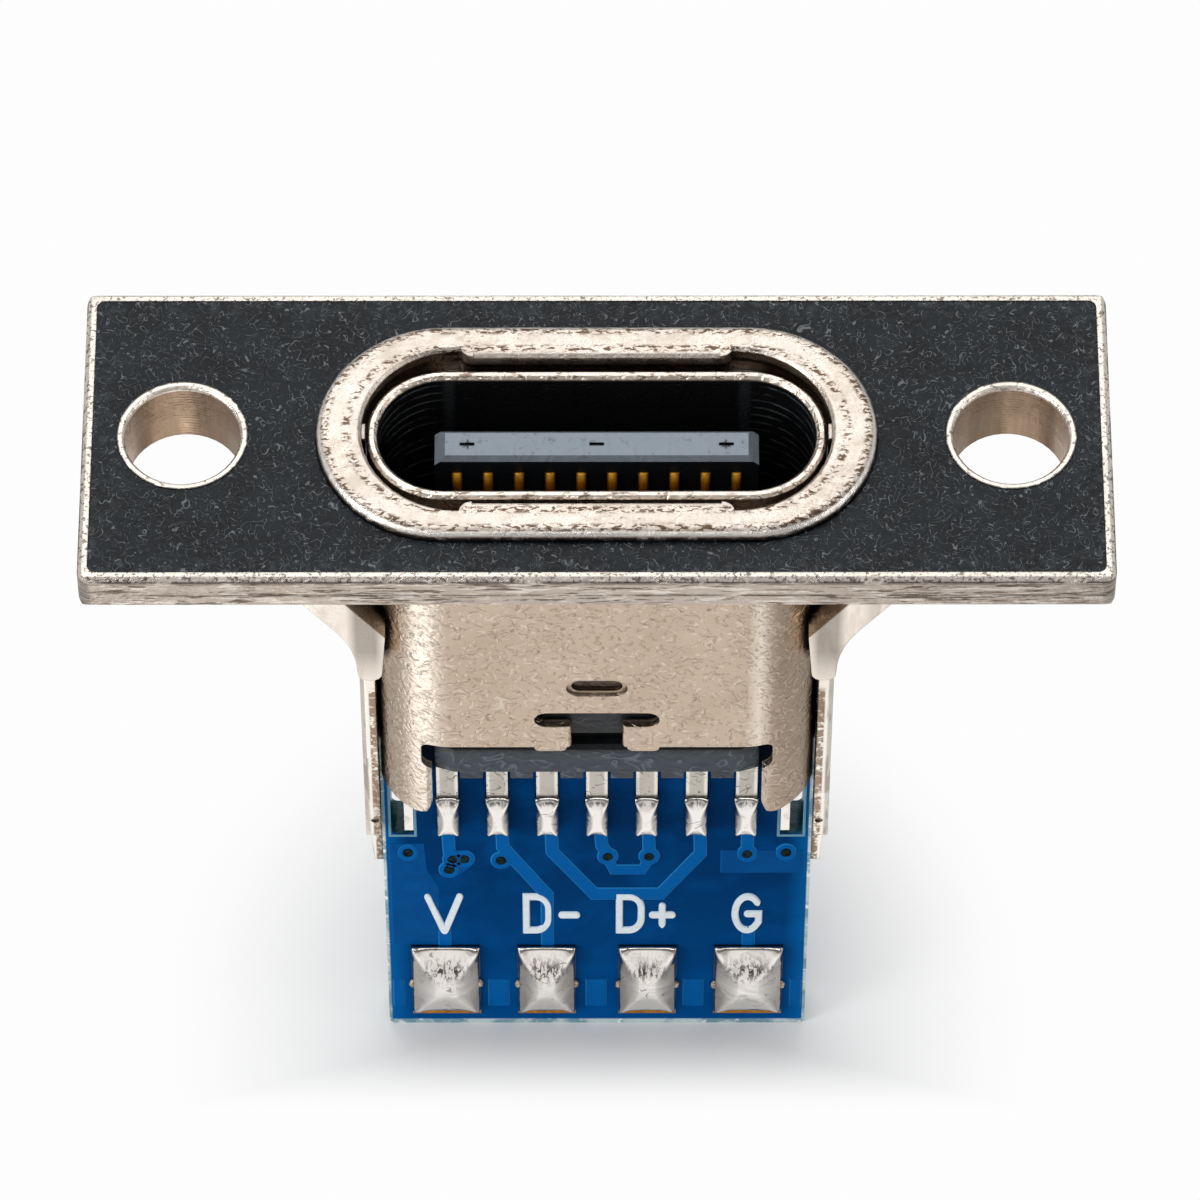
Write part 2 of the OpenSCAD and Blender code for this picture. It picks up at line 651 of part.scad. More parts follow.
module tongue_solid() {
    low = -mouth_depth - over / 2;
    hx = tongue_w / 2;
    intersection() {
        along_y(-over, over) polygon([
            [-hx, low], [hx, low], [hx, -tip_z - tip_end_bevel], [hx - tip_end_bevel, -tip_z],
            [-hx + tip_end_bevel, -tip_z], [-hx, -tip_z - tip_end_bevel]]);
        along_x(-tongue_w, tongue_w) polygon([
            [-tongue_hy, low], [tongue_hy, low], [tongue_hy, -tip_z - tip_bevel],
            [tongue_hy - tip_bevel, -tip_z], [-tongue_hy + tip_bevel, -tip_z],
            [-tongue_hy, -tip_z - tip_bevel]]);
    }
}

// View of the bar from one side: half wide, from the bar's underside to top, top corners bevelled.
module roof(half, top, b) {
    polygon([
        [-half, -bar_z], [half, -bar_z], [half, top - b],
        [half - b, top], [b - half, top], [-half, top - b]]);
}

// Bar across the insulator's end: a plan with slanted corners, and a bevel along its top edges.
module bar(top) {
    hx = leg_gap / 2 - 3 * fit;
    hy = bar_wid / 2;
    b = bar_bevel;
    d = bar_bevel_d;
    t = bar_top_bevel;
    intersection() {
        translate([0, 0, -bar_z]) linear_extrude(bar_z + top) polygon([
            [-hx, -hy + d], [-hx + b, -hy], [hx - b, -hy], [hx, -hy + d],
            [hx, hy - d], [hx - b, hy], [-hx + b, hy], [-hx, hy - d]]);
        along_x(-hx, hx) roof(hy, top, t);
        along_y(-hy, hy) roof(hx, top, 2 * t);
    }
}

// Teeth between the leads, that hang from the bar on both sides of the board.
module teeth() {
    near = board_hy + fit / 2;
    for (i = [0:LEADS - 2], s = [0, 1]) mirror([0, s, 0]) {
        x = lead_x(i) + lead_pitch / 2;
        span([x - tooth_w / 2, near, -bar_z - tooth_h],
            [x + tooth_w / 2, near + tooth_t, -bar_z + bar_top_bevel]);
    }
}

module gate_marks() {
    for (k = [-1:1]) translate([k * gate_pitch, 0, -tip_z])
        cube([gate_len, gate_w, 2 * gate_w], center = true);
}

module insulator() color([0.16, 0.18, 0.2]) {
    body_low = -shell_len + body_inset;
    bar_top = -shell_len - bar_gap;
    neck_hx = leg_gap / 2 - bar_bevel;
    neck_hy = bar_wid / 2 - neck_inset;
    difference() {
        union() {
            tongue_solid();
            oval_prism(mouth_w / 2 - fit, mouth_r - fit, body_low, -mouth_depth);
            span([-neck_hx, -neck_hy, bar_top - bar_top_bevel], [neck_hx, neck_hy, body_low + bar_top_bevel]);
            bar(bar_top);
            teeth();
        }
        for (i = [0:LEADS - 1], s = [0, 1]) mirror([0, s, 0]) contact_blank(i);
        centre_blank();
        gate_marks();
    }
}

// Centre plate: a latch notch in each side, and bevelled front corners. The right half of its
// outline is given from the front down, and the left half mirrors it.
module centre_blank() {
    hx = centre_w / 2;
    top = -tip_z - centre_front;
    floor_h = latch_h / 2;
    right = [
        [hx - centre_bevel, top], [hx, top - centre_bevel],
        [hx, -latch_z + floor_h + latch_slope], [hx - latch_depth, -latch_z + floor_h],
        [hx - latch_depth, -latch_z - floor_h], [hx, -latch_z - floor_h - latch_slope],
        [hx, -bar_z + centre_rear]];
    last = len(right) - 1;
    along_y(-centre_t / 2, centre_t / 2)
        polygon(concat(right, [for (k = [0:last]) [-right[last - k].x, right[last - k].y]]));
}

module centre_plate() color("silver") centre_blank();

// ---------- contacts ----------

// One contact of the front row, lead i: fingers on the tongue, a cross bar and the lead.
module contact_blank(i) {
    f = FINGERS[i];
    xs = [for (j = f) finger_x(j)];
    left = min(min(xs) - finger_w / 2, lead_x(i) - lead_w / 2);
    right = max(max(xs) + finger_w / 2, lead_x(i) + lead_w / 2);
    fan_z = len(f) > 1 ? fan_pair_z : fan_single_z;
    y0 = -tongue_hy - finger_proud;
    y_lead = -board_hy - lead_lift - contact_t;
    drop_z = bar_z - bend_h;
    for (x = xs) span([x - finger_w / 2, y0, -fan_z], [x + finger_w / 2, y0 + contact_t, -finger_z]);
    span([left, y0, -fan_z - fan_h], [right, y0 + contact_t, -fan_z]);
    span([lead_x(i) - lead_w / 2, y0, -drop_z], [lead_x(i) + lead_w / 2, y0 + contact_t, -fan_z - fan_h]);
    span([lead_x(i) - lead_w / 2, y_lead, -drop_z - contact_t],
        [lead_x(i) + lead_w / 2, y0 + contact_t, -drop_z]);
    span([lead_x(i) - lead_w / 2, y_lead, -lead_z],
        [lead_x(i) + lead_w / 2, y_lead + contact_t, -drop_z - contact_t]);
}

module front_contact(i) color("gold") contact_blank(i);

module back_contact(i) color("gold") mirror([0, 1, 0]) contact_blank(i);

// ---------- board and solder ----------

// Small through holes of the board: number of the lead above, and steps on the grid to the
// right of it and below the first row.
VIAS = [
    [0, -8.4, 0], [6, 8.4, 0], [0, 0.7, 2.5], [0, 3, 2.5], [0, -0.1, 6.5],
    [1, 0.5, 3], [3, 2.2, 1.5], [4, 0.6, 1.5], [6, 0.5, 0.5]
];

module board_outline() {
    hx = board_w / 2;
    difference() {
        union() {
            translate([-hx, -board_z + board_r]) square([board_w, board_z - board_top - board_r]);
            translate([-hx + board_r, -board_z]) square([board_w - 2 * board_r, 2 * board_r]);
            for (s = [-1, 1]) translate([s * (hx - board_r), -board_z + board_r]) circle(board_r);
        }
        for (s = [-1, 1]) translate([s * anchor_pitch / 2, -anchor_z + anchor_len / 2])
            round_rect(anchor_w, anchor_len, board_r);
        for (v = VIAS) translate([lead_x(v[0]) + v[1] * via_grid, -lead_z - via_gap - v[2] * via_grid])
            circle(via_d / 2);
    }
}

module board() color([0, 0.28, 0.55]) along_y(-board_hy, board_hy) board_outline();

module wire_pads() color("goldenrod") {
    for (i = [0:3]) {
        half = wire_w(i) / 2;
        span([wire_x(i) - half, -board_hy - wire_t, -wire_z],
            [wire_x(i) + half, -board_hy, -wire_z + wire_len]);
    }
}

module wire_solder(i) color("lightgray") {
    len = wire_len - wire_bare;
    translate([wire_x(i), -board_hy - wire_t, -wire_z + wire_bare + len / 2])
        solder(wire_w(i), len, pillow_h, pillow_rim, pillow_pinch, 8, 10);
}

// Solder over the seven lead ends of the front row.
module joint_row() {
    difference() {
        for (i = [0:LEADS - 1]) translate([lead_x(i), -board_hy, -lead_z - joint_past + joint_len / 2])
            solder(lead_w + joint_grow, joint_len, joint_h, joint_rim, joint_pinch, 6, 8);
        for (i = [0:LEADS - 1]) contact_blank(i);
    }
}

module front_joints() color("lightgray") joint_row();

module back_joints() color("lightgray") mirror([0, 1, 0]) joint_row();

// Solder along the inner side of each plated slot, flush with the board.
module shell_joints() color("lightgray") {
    outer = anchor_pitch / 2 - anchor_w / 2 + fit / 2;
    for (s = [0, 1]) mirror([s, 0, 0])
        span([outer, -board_hy, -anchor_z + board_r],
            [outer + anchor_fill, board_hy, -anchor_z + anchor_len - board_r]);
}

flange();
face_film();
shell();
insulator();
centre_plate();
board();
wire_pads();
front_joints();
back_joints();
shell_joints();
for (i = [1:LEADS]) {
    front_contact(i - 1);
    back_contact(i - 1);
}
for (i = [1:4]) wire_solder(i - 1);
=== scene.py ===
"""Looks of a panel-mount USB-C socket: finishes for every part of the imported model, the board's printed
artwork, its solder and a plain studio. Laid out as an add-on, and run as a script."""

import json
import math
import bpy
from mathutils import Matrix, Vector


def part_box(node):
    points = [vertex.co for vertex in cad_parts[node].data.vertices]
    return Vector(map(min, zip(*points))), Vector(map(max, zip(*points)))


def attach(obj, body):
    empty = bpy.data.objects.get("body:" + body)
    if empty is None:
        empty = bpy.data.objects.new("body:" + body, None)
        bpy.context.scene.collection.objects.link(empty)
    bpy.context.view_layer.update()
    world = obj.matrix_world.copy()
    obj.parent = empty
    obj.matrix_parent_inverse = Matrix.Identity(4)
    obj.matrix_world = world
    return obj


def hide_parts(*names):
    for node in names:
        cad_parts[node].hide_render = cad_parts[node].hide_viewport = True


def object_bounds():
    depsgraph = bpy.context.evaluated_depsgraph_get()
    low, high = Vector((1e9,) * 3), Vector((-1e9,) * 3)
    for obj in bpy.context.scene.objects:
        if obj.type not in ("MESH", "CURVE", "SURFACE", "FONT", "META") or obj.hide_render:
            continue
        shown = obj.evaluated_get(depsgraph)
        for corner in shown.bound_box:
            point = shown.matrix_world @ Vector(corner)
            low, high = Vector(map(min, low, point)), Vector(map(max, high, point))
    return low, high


bl_info = {
    "name": "Panel socket",
    "version": (1, 0, 0),
    "blender": (4, 5, 0),
    "location": "View3D > Sidebar > Socket",
    "description": "Finishes, board artwork, solder and studio for a panel-mount USB-C socket",
    "category": "Object",
}

import bpy
import numpy as np
from bpy.props import FloatProperty, FloatVectorProperty, PointerProperty
from mathutils import Vector

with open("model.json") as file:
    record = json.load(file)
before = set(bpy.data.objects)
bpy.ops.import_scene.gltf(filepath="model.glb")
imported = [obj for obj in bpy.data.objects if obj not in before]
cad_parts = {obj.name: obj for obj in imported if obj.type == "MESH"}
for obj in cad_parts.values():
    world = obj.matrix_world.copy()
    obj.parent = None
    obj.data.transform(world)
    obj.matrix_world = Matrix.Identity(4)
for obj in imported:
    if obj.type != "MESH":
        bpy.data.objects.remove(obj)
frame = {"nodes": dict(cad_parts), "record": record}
CAD_BOX = [list(corner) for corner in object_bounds()]

MM = 0.001
BODY = "root"
BOARD_LOW, BOARD_HIGH = (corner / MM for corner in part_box("board"))
SHELL_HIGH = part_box("shell")[1] / MM
FLANGE_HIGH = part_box("flange")[1] / MM
SCREWS = frame["record"]["mounts"][0]["dims"]
LEAD_COUNT = 7                                 # on each face of the board
PAD_COUNT = 4
FINGER_COUNT = 10                              # fingers that show on the front of the tongue

# places and lengths in millimetres that the finishes and the pieces follow
FACE_Y = BOARD_LOW.y                           # the board's printed face
BOARD_HALF_X = BOARD_HIGH.x
BOARD_FOOT = BOARD_LOW.z
PLATE_HALF_X = FLANGE_HIGH.x
PLATE_HALF_Y = FLANGE_HIGH.y
SCREW_PITCH = SCREWS["spacing_x_mm"]
SCREW_R = SCREWS["hole_r_mm"]
SHELL_R = SHELL_HIGH.y                         # outer radius of the shell's round ends
SHELL_STRAIGHT = SHELL_HIGH.x - SHELL_R        # half length of the straight part between them
PAD_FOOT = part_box("wire_pads")[0].z / MM
RIM = 0.25                                     # width of the plate's bright edge outside the film
EAR_ROOT = -0.95                               # just behind the plate, where the ears begin
EAR_TIP = -7.8                                 # where the ears end and the arms go on alone
COLLAR_R = SHELL_R + 0.96                      # outer radius of the collar's round ends
FINGER_PITCH = 0.59
FINGER_HALF = 0.1
FINGER_TIP = -0.735
FINGER_ROUND = 0.17                            # length of the fingers' rounded tips
FINGER_SWELL = 0.1                             # how far they stand out of the tongue
TONGUE_Y = -0.35
LEAD_PITCH = 1.0
SLOT_X, SLOT_Z = (3.67, 4.19), (-13.56, -11.65)     # sides and ends of the right anchor slot
CREVICE = 0.16                                 # how far a narrow corner's shade reaches
FAR = 99.0                                     # a place beyond the whole socket
DIMPLE_HALF_X, DIMPLE_Z = 0.8, (-6.9, -6.1)    # the oval pressed into the shell's front
GATE_X = 2.45                                  # the two gate marks on the tongue's tip lie this far out
BLOCK_TOP = -9.2                               # the insulator's block behind the shell
LEAD_TOP = -7.3                                # where the contacts turn from gold to tin
BOARD_SHADE = -11.0                            # the board is in the shell's shade above this
BORE_PITCH, PUNCH_PITCH = 0.085, 0.24          # of the fine rings in the screw holes and inside the shell
FLUX_Z = -19.2

# how the solder lies on the wire pads and on the leads, as pillow() takes it
SOLDER_RIM = 0.03
PAD_FLOW = {"pinch": 0.03, "wall": 0.06, "crease": 0.5, "top_bias": 0.0, "band_at": 0.5, "spread": 0.24,
            "grid": (25, 33)}
LEAD_FLOW = {"pinch": 0.06, "wall": 0.2, "crease": 0.1, "top_bias": 0.12, "band_at": 0.85, "spread": 0.06,
             "grid": (17, 25)}

# dark brown of the casting: painted shade in its narrow corners and at the collar's foot, and its dark
# parting line, bevel line and lines round the screw seats
CASTING_GRIME_AND_SHADE = "#3b332c"
WHITE = (1, 1, 1, 1)
SMOOTH = {"interpolation_type": "SMOOTHSTEP"}


def hex_colour(code):
    """Linear RGBA of an sRGB hex value, by the standard piecewise curve."""
    channels = [int(code[i:i + 2], 16) / 255 for i in (1, 3, 5)]
    linear = [c / 12.92 if c <= 0.04045 else ((c + 0.055) / 1.055) ** 2.4 for c in channels]
    return (*linear, 1.0)


def colour_prop(name, code, description):
    """A colour setting with that hex value."""
    return FloatVectorProperty(
        name=name, description=description, subtype="COLOR", size=4, min=0, max=1, default=hex_colour(code))


def size_prop(name, millimetres, description):
    """A length setting, given in millimetres."""
    return FloatProperty(
        name=name, description=description, default=millimetres * MM, min=0, unit="LENGTH", precision=6)


# ---------------------------------------------------------------- settings


class SocketSizes(bpy.types.PropertyGroup):
    """Sizes of what is drawn and soldered on the board."""

    stroke: size_prop("Letter stroke", 0.15, "Width of the printed letters' strokes")
    ink: size_prop("Ink height", 0.014, "Thickness of the printed letters")
    trace: size_prop("Trace width", 0.27, "Width of the wide copper traces")
    copper: size_prop("Copper height", 0.018, "How far the traces stand out under the solder mask")
    pillow: size_prop("Pillow height", 0.3, "Height of the solder on the wire pads")
    joint: size_prop("Joint height", 0.34, "Height of the solder on the leads")
    stretch: FloatProperty(
        name="Artwork stretch", description="Height of the board's artwork over its width",
        default=1.74, min=1, max=2.5)


class SocketColours(bpy.types.PropertyGroup):
    """Colours of the socket's finishes."""

    casting: colour_prop("Casting", "#cec3b8", "Nickel plating on the cast flange")
    casting_dark: colour_prop("Casting pits", "#6f645b", "Grime in the casting's rough edges")
    sheet: colour_prop("Shell", "#cab7a3", "Warm nickel plating on the shell")
    sheet_dark: colour_prop("Shell marks", "#a18b75", "Shaded side of the fine curly marks in the plating")
    steel: colour_prop("Centre plate", "#b9b9b5", "Stamped steel of the hidden centre plate")
    film: colour_prop("Film", "#090c0f", "Black film on the flange's face")
    film_hair: colour_prop("Film marks", "#9da2a6", "Hair-like marks on the film")
    # painted light: the pale slate laid on the insulator's upward faces
    moulding: colour_prop("Moulding", "#15171a", "Black insulator")
    moulding_tip: colour_prop("Moulding bloom", "#929da7", "Pale bloom on the insulator's upward faces")
    gold: colour_prop("Gold", "#e0951e", "Gold plating")
    tin: colour_prop("Tin", "#f4efe8", "Tin plating and solder")
    mask: colour_prop("Solder mask", "#00366a", "Blue solder mask over bare board")
    mask_light: colour_prop("Light mask", "#005aa6", "The mask where it lies thinner")
    mask_copper: colour_prop("Mask on copper", "#005ea8", "Blue solder mask over copper")
    mask_edge: colour_prop("Mask edge", "#2f86be", "Thin mask on the edges of the copper")
    fibreglass: colour_prop("Fibreglass", "#c3d6d8", "Cut edge of the board")
    ink: colour_prop("Ink", "#eef5f8", "Printed letters")
    floor: colour_prop("Floor", "#dfe0e1", "Studio floor")


class SocketStudio(bpy.types.PropertyGroup):
    """Camera and light."""

    height: FloatProperty(
        name="Camera height", description="Angle of the camera above the horizon", default=math.radians(55),
        subtype="ANGLE")
    distance: size_prop("Camera distance", 160, "Distance of the camera from the middle of the mouth")
    aim: FloatVectorProperty(
        name="Aim", description="Point that the camera looks at", subtype="TRANSLATION",
        default=(0.00006, -0.00257, -0.00178))
    lens: FloatProperty(name="Lens", description="Focal length in millimetres", default=253.4, min=50)
    key: FloatProperty(name="Key", description="Strength of the softboxes", default=1.0, min=0)
    sky: FloatProperty(name="Sky", description="Strength of the light from all round", default=0.5, min=0)


# ---------------------------------------------------------------- node helpers


def add(tree, kind, inputs=(), **settings):
    """Adds one node. settings are its properties; inputs gives each socket, by name or number, a value or
    another node's output. A node given as a value stands for its first output."""
    made = tree.nodes.new(kind)
    for name, value in settings.items():
        setattr(made, name, value)
    for name, value in dict(inputs).items():
        if isinstance(value, bpy.types.Node):
            value = value.outputs[0]
        if isinstance(value, bpy.types.NodeSocket):
            tree.links.new(value, made.inputs[name])
        else:
            made.inputs[name].default_value = value
    return made


def new_material(name):
    """An empty node material and what every finish starts from: its tree, the object's own position in
    millimetres, that position split into x, y and z, and the same three without their signs."""
    material = bpy.data.materials.new(name)
    material.use_nodes = True
    tree = material.node_tree
    tree.nodes.clear()
    place = add(tree, "ShaderNodeTexCoord").outputs["Object"]
    place = add(tree, "ShaderNodeVectorMath", {0: place, "Scale": 1 / MM}, operation="SCALE")
    axes = add(tree, "ShaderNodeSeparateXYZ", {0: place}).outputs
    unsigned = add(tree, "ShaderNodeVectorMath", {0: place}, operation="ABSOLUTE")
    apart = add(tree, "ShaderNodeSeparateXYZ", {0: unsigned}).outputs
    return material, tree, place, axes, apart


def finish(tree, tone, height, relief, edge=0.0, crevice=None, **shader):
    """Closes a material: a principled surface of that tone, with the height field as relief, that many
    millimetres deep, over edges rounded to that radius. crevice is a colour painted as shade into narrow
    corners. Each word of shader is a socket's name, with underscores for its spaces."""
    normal = {}
    if edge:
        normal["Normal"] = add(tree, "ShaderNodeBevel", {"Radius": edge * MM}, samples=4)
    if crevice:
        # painted shade: the crevice colour laid where ambient occlusion finds the corners closing in
        openness = add(tree, "ShaderNodeAmbientOcclusion", {"Distance": CREVICE * MM}, samples=6).outputs
        closed = add(tree, "ShaderNodeMapRange", {0: openness["AO"], 1: 0.55, 2: 0.9, 3: 0.85, 4: 0})
        tone = over(tree, tone, crevice, closed)
    bump = add(tree, "ShaderNodeBump", {"Height": height, "Strength": 1.0, "Distance": relief * MM, **normal})
    sockets = {name.replace("_", " "): value for name, value in shader.items()}
    surface = add(tree, "ShaderNodeBsdfPrincipled", {"Base Color": tone, "Normal": bump, **sockets})
    add(tree, "ShaderNodeOutputMaterial", {"Surface": surface})


def over(tree, under, colour, mask, strength=1.0):
    """Lays a colour over another, as thickly as the mask times the strength. A colour may be a hex value."""
    under, colour = (hex_colour(tone) if isinstance(tone, str) else tone for tone in (under, colour))
    amount = add(tree, "ShaderNodeMath", {0: mask, 1: strength}, operation="MULTIPLY", use_clamp=True)
    return add(tree, "ShaderNodeMix", {0: amount, 6: under, 7: colour}, data_type="RGBA").outputs[2]


def coats(tree, tone, *layers):
    """Lays colours one over another, the lowest first. Each layer is a colour, its mask and its strength."""
    for layer in layers:
        tone = over(tree, tone, *layer)
    return tone


def fold(tree, operation, masks):
    """Joins masks one after another by an operation of two values."""
    result = masks[0]
    for mask in masks[1:]:
        result = add(tree, "ShaderNodeMath", {0: result, 1: mask}, operation=operation)
    return result


def both(tree, *masks):
    """Product of masks: 1 only where all of them are."""
    return fold(tree, "MULTIPLY", masks)


def either(tree, *masks):
    """Highest of masks: 1 where any of them is."""
    return fold(tree, "MAXIMUM", masks)


def between(tree, value, low, high, soft):
    """1 where a value lies between low and high and 0 outside, with edges that soft."""
    rise = add(tree, "ShaderNodeMapRange", {0: value, 1: low - soft, 2: low + soft, 3: 0, 4: 1})
    fall = add(tree, "ShaderNodeMapRange", {0: value, 1: high - soft, 2: high + soft, 3: 1, 4: 0})
    return both(tree, rise, fall)


def blotches(tree, place, size, low, high, stretch=(1, 1, 1), detail=4.0, twist=0.0):
    """A mottled mask: 0 where a noise of that feature size, in mm, is under low, and 1 where it is over high.
    A stretch below 1 draws the pattern out along that axis into streaks."""
    moved = add(tree, "ShaderNodeVectorMath", {0: place, 1: stretch}, operation="MULTIPLY")
    noise = add(tree, "ShaderNodeTexNoise", {"Vector": moved, "Scale": 1 / size, "Detail": detail,
                                            "Roughness": 0.62, "Distortion": twist})
    return add(tree, "ShaderNodeMapRange", {0: noise, 1: low, 2: high, 3: 0, 4: 1})


def patchy(tree, place, size, low, high):
    """A roughness that wanders from low to high in soft patches of that size, in mm."""
    patches = blotches(tree, place, size, 0.35, 0.65)
    return add(tree, "ShaderNodeMapRange", {0: patches, 1: 0, 2: 1, 3: low, 4: high})


def curls(tree, place, size, seed, levels):
    """Fine curly marks: the sine of a noise of that feature size, in mm, turned levels times, so that its
    crests follow the noise's level lines. From -1 in the troughs to 1 on the crests."""
    shifted = add(tree, "ShaderNodeVectorMath", {0: place, 1: (seed, seed * 2, seed * 3)}, operation="ADD")
    field = add(tree, "ShaderNodeTexNoise",
                {"Vector": shifted, "Scale": 1 / size, "Detail": 1.0, "Distortion": 0.7})
    return ripples(tree, field, 1 / levels)


def ripples(tree, value, pitch):
    """Sine of a value, one wave for each pitch of it."""
    turns = add(tree, "ShaderNodeMath", {0: value, 1: 2 * math.pi / pitch}, operation="MULTIPLY")
    return add(tree, "ShaderNodeMath", {0: turns}, operation="SINE")


def hairs(tree, place, size, seed, levels, thin, gaps):
    """Short thin hairs: the crests of the curls, thinner for a thin nearer 1, broken up where a noise is
    under gaps."""
    wave = curls(tree, place, size, seed, levels)
    line = add(tree, "ShaderNodeMapRange", {0: wave, 1: thin, 2: thin + (1 - thin) * 0.7, 3: 0, 4: 1})
    return both(tree, line, blotches(tree, place, size * 0.6, gaps, gaps + 0.04, detail=1.0))


def oval_distance(tree, axes, apart):
    """Distance in mm from the middle line of the shell's oval, the straight line between its round ends."""
    side = add(tree, "ShaderNodeMath", {0: apart[0], 1: SHELL_STRAIGHT}, operation="SUBTRACT")
    side = add(tree, "ShaderNodeMath", {0: side, 1: 0.0}, operation="MAXIMUM")
    return flat_distance(tree, side, axes[1])


def flat_distance(tree, across, along):
    """Length of the line with those two sides."""
    flat = add(tree, "ShaderNodeCombineXYZ", {0: across, 1: along})
    return add(tree, "ShaderNodeVectorMath", {0: flat}, operation="LENGTH").outputs[1]


def from_middle(tree, value, pitch, shift):
    """Distance from the middle of the nearest strip of a row, in pitches. shift is 0.5 for a row with a strip
    at 0, and 0 for one with a gap there."""
    turn = add(tree, "ShaderNodeMath", {0: value, 1: 1 / pitch, 2: shift}, operation="MULTIPLY_ADD")
    turn = add(tree, "ShaderNodeMath", {0: turn}, operation="FRACT")
    turn = add(tree, "ShaderNodeMath", {0: turn, 1: 0.5}, operation="SUBTRACT")
    return add(tree, "ShaderNodeMath", {0: turn}, operation="ABSOLUTE")


def slope_of(tree):
    """The three parts of the way that a surface faces."""
    facing = add(tree, "ShaderNodeNewGeometry").outputs["Normal"]
    return add(tree, "ShaderNodeSeparateXYZ", {0: facing}).outputs


# ---------------------------------------------------------------- finishes


def collar_coats(tree, tone, place, axes, apart, face):
    """The raised collar: bright, with brown speckles on its outer slope and round its inner edge, a painted
    highlight along its outer edge, painted shade at its foot and painted dark brown shade in the recess
    inside it."""
    from_oval = oval_distance(tree, axes, apart)

    def belt(inmost, outmost, soft):
        """The belt of the collar between two distances in from its outer edge."""
        return between(tree, from_oval, COLLAR_R - inmost, COLLAR_R - outmost, soft)

    collar = both(tree, face, belt(1.1, -0.06, 0.02))
    slopes = either(tree, belt(0.25, 0.09, 0.035), belt(0.66, 0.5, 0.035))
    clouds = blotches(tree, place, 0.45, 0.48, 0.6, (0.6, 1, 1))
    speckles = blotches(tree, place, 0.075, 0.5, 0.55, (0.45, 1, 1), twist=0.6)
    sparse = blotches(tree, place, 0.1, 0.63, 0.67, (0.45, 1, 1), twist=1.0)
    # painted shade in the recess between the collar and the shell
    recess = both(tree, belt(COLLAR_R + 1, 0.66, 0.02), between(tree, axes[2], -3, -0.04, 0.03))
    # painted highlight along the collar's outer edge
    lit_line = both(tree, face, belt(0.09, 0.03, 0.01))
    # painted shade at the collar's foot
    foot = both(tree, face, belt(0.02, -0.08, 0.01), blotches(tree, place, 0.25, 0.35, 0.45))
    return coats(
        tree, tone,
        ("#eadfd4", collar, 0.6),
        ("#b7a795", both(tree, collar, clouds), 0.4),
        ("#5f4836", both(tree, collar, slopes, speckles), 0.95),
        ("#4a3728", recess, 0.85),
        ("#84705d", both(tree, collar, sparse), 0.75),
        ("#fffaf3", lit_line, 0.8),
        (CASTING_GRIME_AND_SHADE, foot, 0.85))


def plate_edge_coats(tree, tone, colours, place, axes, apart, face):
    """The plate's edges: a narrow bright rim with fine hard specks, a dark broken line along the bevel, and
    sides with long streaks, painted highlights and the mould's parting line."""
    border = either(tree, between(tree, apart[0], PLATE_HALF_X - RIM, FAR, 0.01),
                    between(tree, apart[1], PLATE_HALF_Y - RIM, FAR, 0.01))
    rim = both(tree, border, face)
    specks = blotches(tree, place, 0.085, 0.54, 0.59, twist=0.4)
    cracks = blotches(tree, place, 0.3, 0.43, 0.5, (0.35, 0.35, 1))
    sides = both(tree, border, between(tree, axes[2], -0.92, -0.1, 0.02))
    streaks = blotches(tree, place, 0.15, 0.54, 0.58, (0.2, 0.2, 1.8), twist=0.6)
    # painted highlights on the plate's sides
    shine = blotches(tree, place, 0.2, 0.54, 0.6, (0.25, 0.25, 1.8))
    parting = both(tree, between(tree, axes[2], -0.53, -0.47, 0.015), blotches(tree, place, 0.8, 0.42, 0.52))
    return coats(
        tree, tone,
        ("#fff6ea", rim, 0.6),
        (colours.casting_dark, both(tree, rim, specks), 0.85),
        (CASTING_GRIME_AND_SHADE, both(tree, between(tree, axes[2], -0.16, -0.07, 0.015), cracks), 0.9),
        ("#b5a393", sides, 0.5),
        ("#584639", both(tree, sides, streaks), 0.85),
        ("#f4eadf", both(tree, sides, shine), 0.7),
        (CASTING_GRIME_AND_SHADE, parting, 0.6))


def ear_coats(tree, tone, place, axes, apart, under):
    """The ears and arms under the plate: a painted pale sheen, lighter still on the ears, painted dark bronze
    reflections streaked down the ears, painted shade in the pockets beside the shell, and a speckled brown
    band with a painted glint beside it down each arm."""
    # painted sheen under the plate
    sheen = blotches(tree, place, 0.6, 0.3, 0.5, (1, 1, 0.25), detail=2.0)
    folds = blotches(tree, place, 0.3, 0.56, 0.62, (1, 1, 0.2), detail=2.0)
    outward = add(tree, "ShaderNodeMapRange", {0: apart[0], 1: 4.9, 2: 6.2, 3: 0, 4: 0.8})
    # painted dark bronze reflections on the ears' outer parts
    bronze = blotches(tree, place, 0.4, 0.54, 0.62, (0.6, 1, 0.2), detail=2.0)
    beside_shell = between(tree, apart[0], 4.2, 4.75, 0.1)
    # painted shade in the pockets beside the shell
    pocket = both(tree, between(tree, axes[2], -6.0, EAR_ROOT, 0.6), beside_shell)
    arm = between(tree, axes[2], -FAR, EAR_TIP, 0.1)
    band = both(tree, arm, between(tree, apart[0], 4.2, 4.5, 0.02), blotches(tree, place, 0.12, 0.4, 0.5))
    # painted glint beside the band down each arm
    glint = both(tree, arm, between(tree, apart[0], 4.5, 4.55, 0.012))
    return coats(
        tree, tone,
        ("#fff6ea", both(tree, under, sheen), 0.9),
        ("#9b8672", both(tree, under, folds), 0.6),
        # painted sheen: the ears made lighter still
        ("#fbefe2", between(tree, axes[2], EAR_TIP, EAR_ROOT, 0.1), 0.75),
        ("#6a5441", both(tree, under, outward, bronze), 0.85),
        ("#4d4034", pocket, 0.6),
        ("#8c6f57", band, 0.9),
        ("#fbf6ee", glint, 0.9))


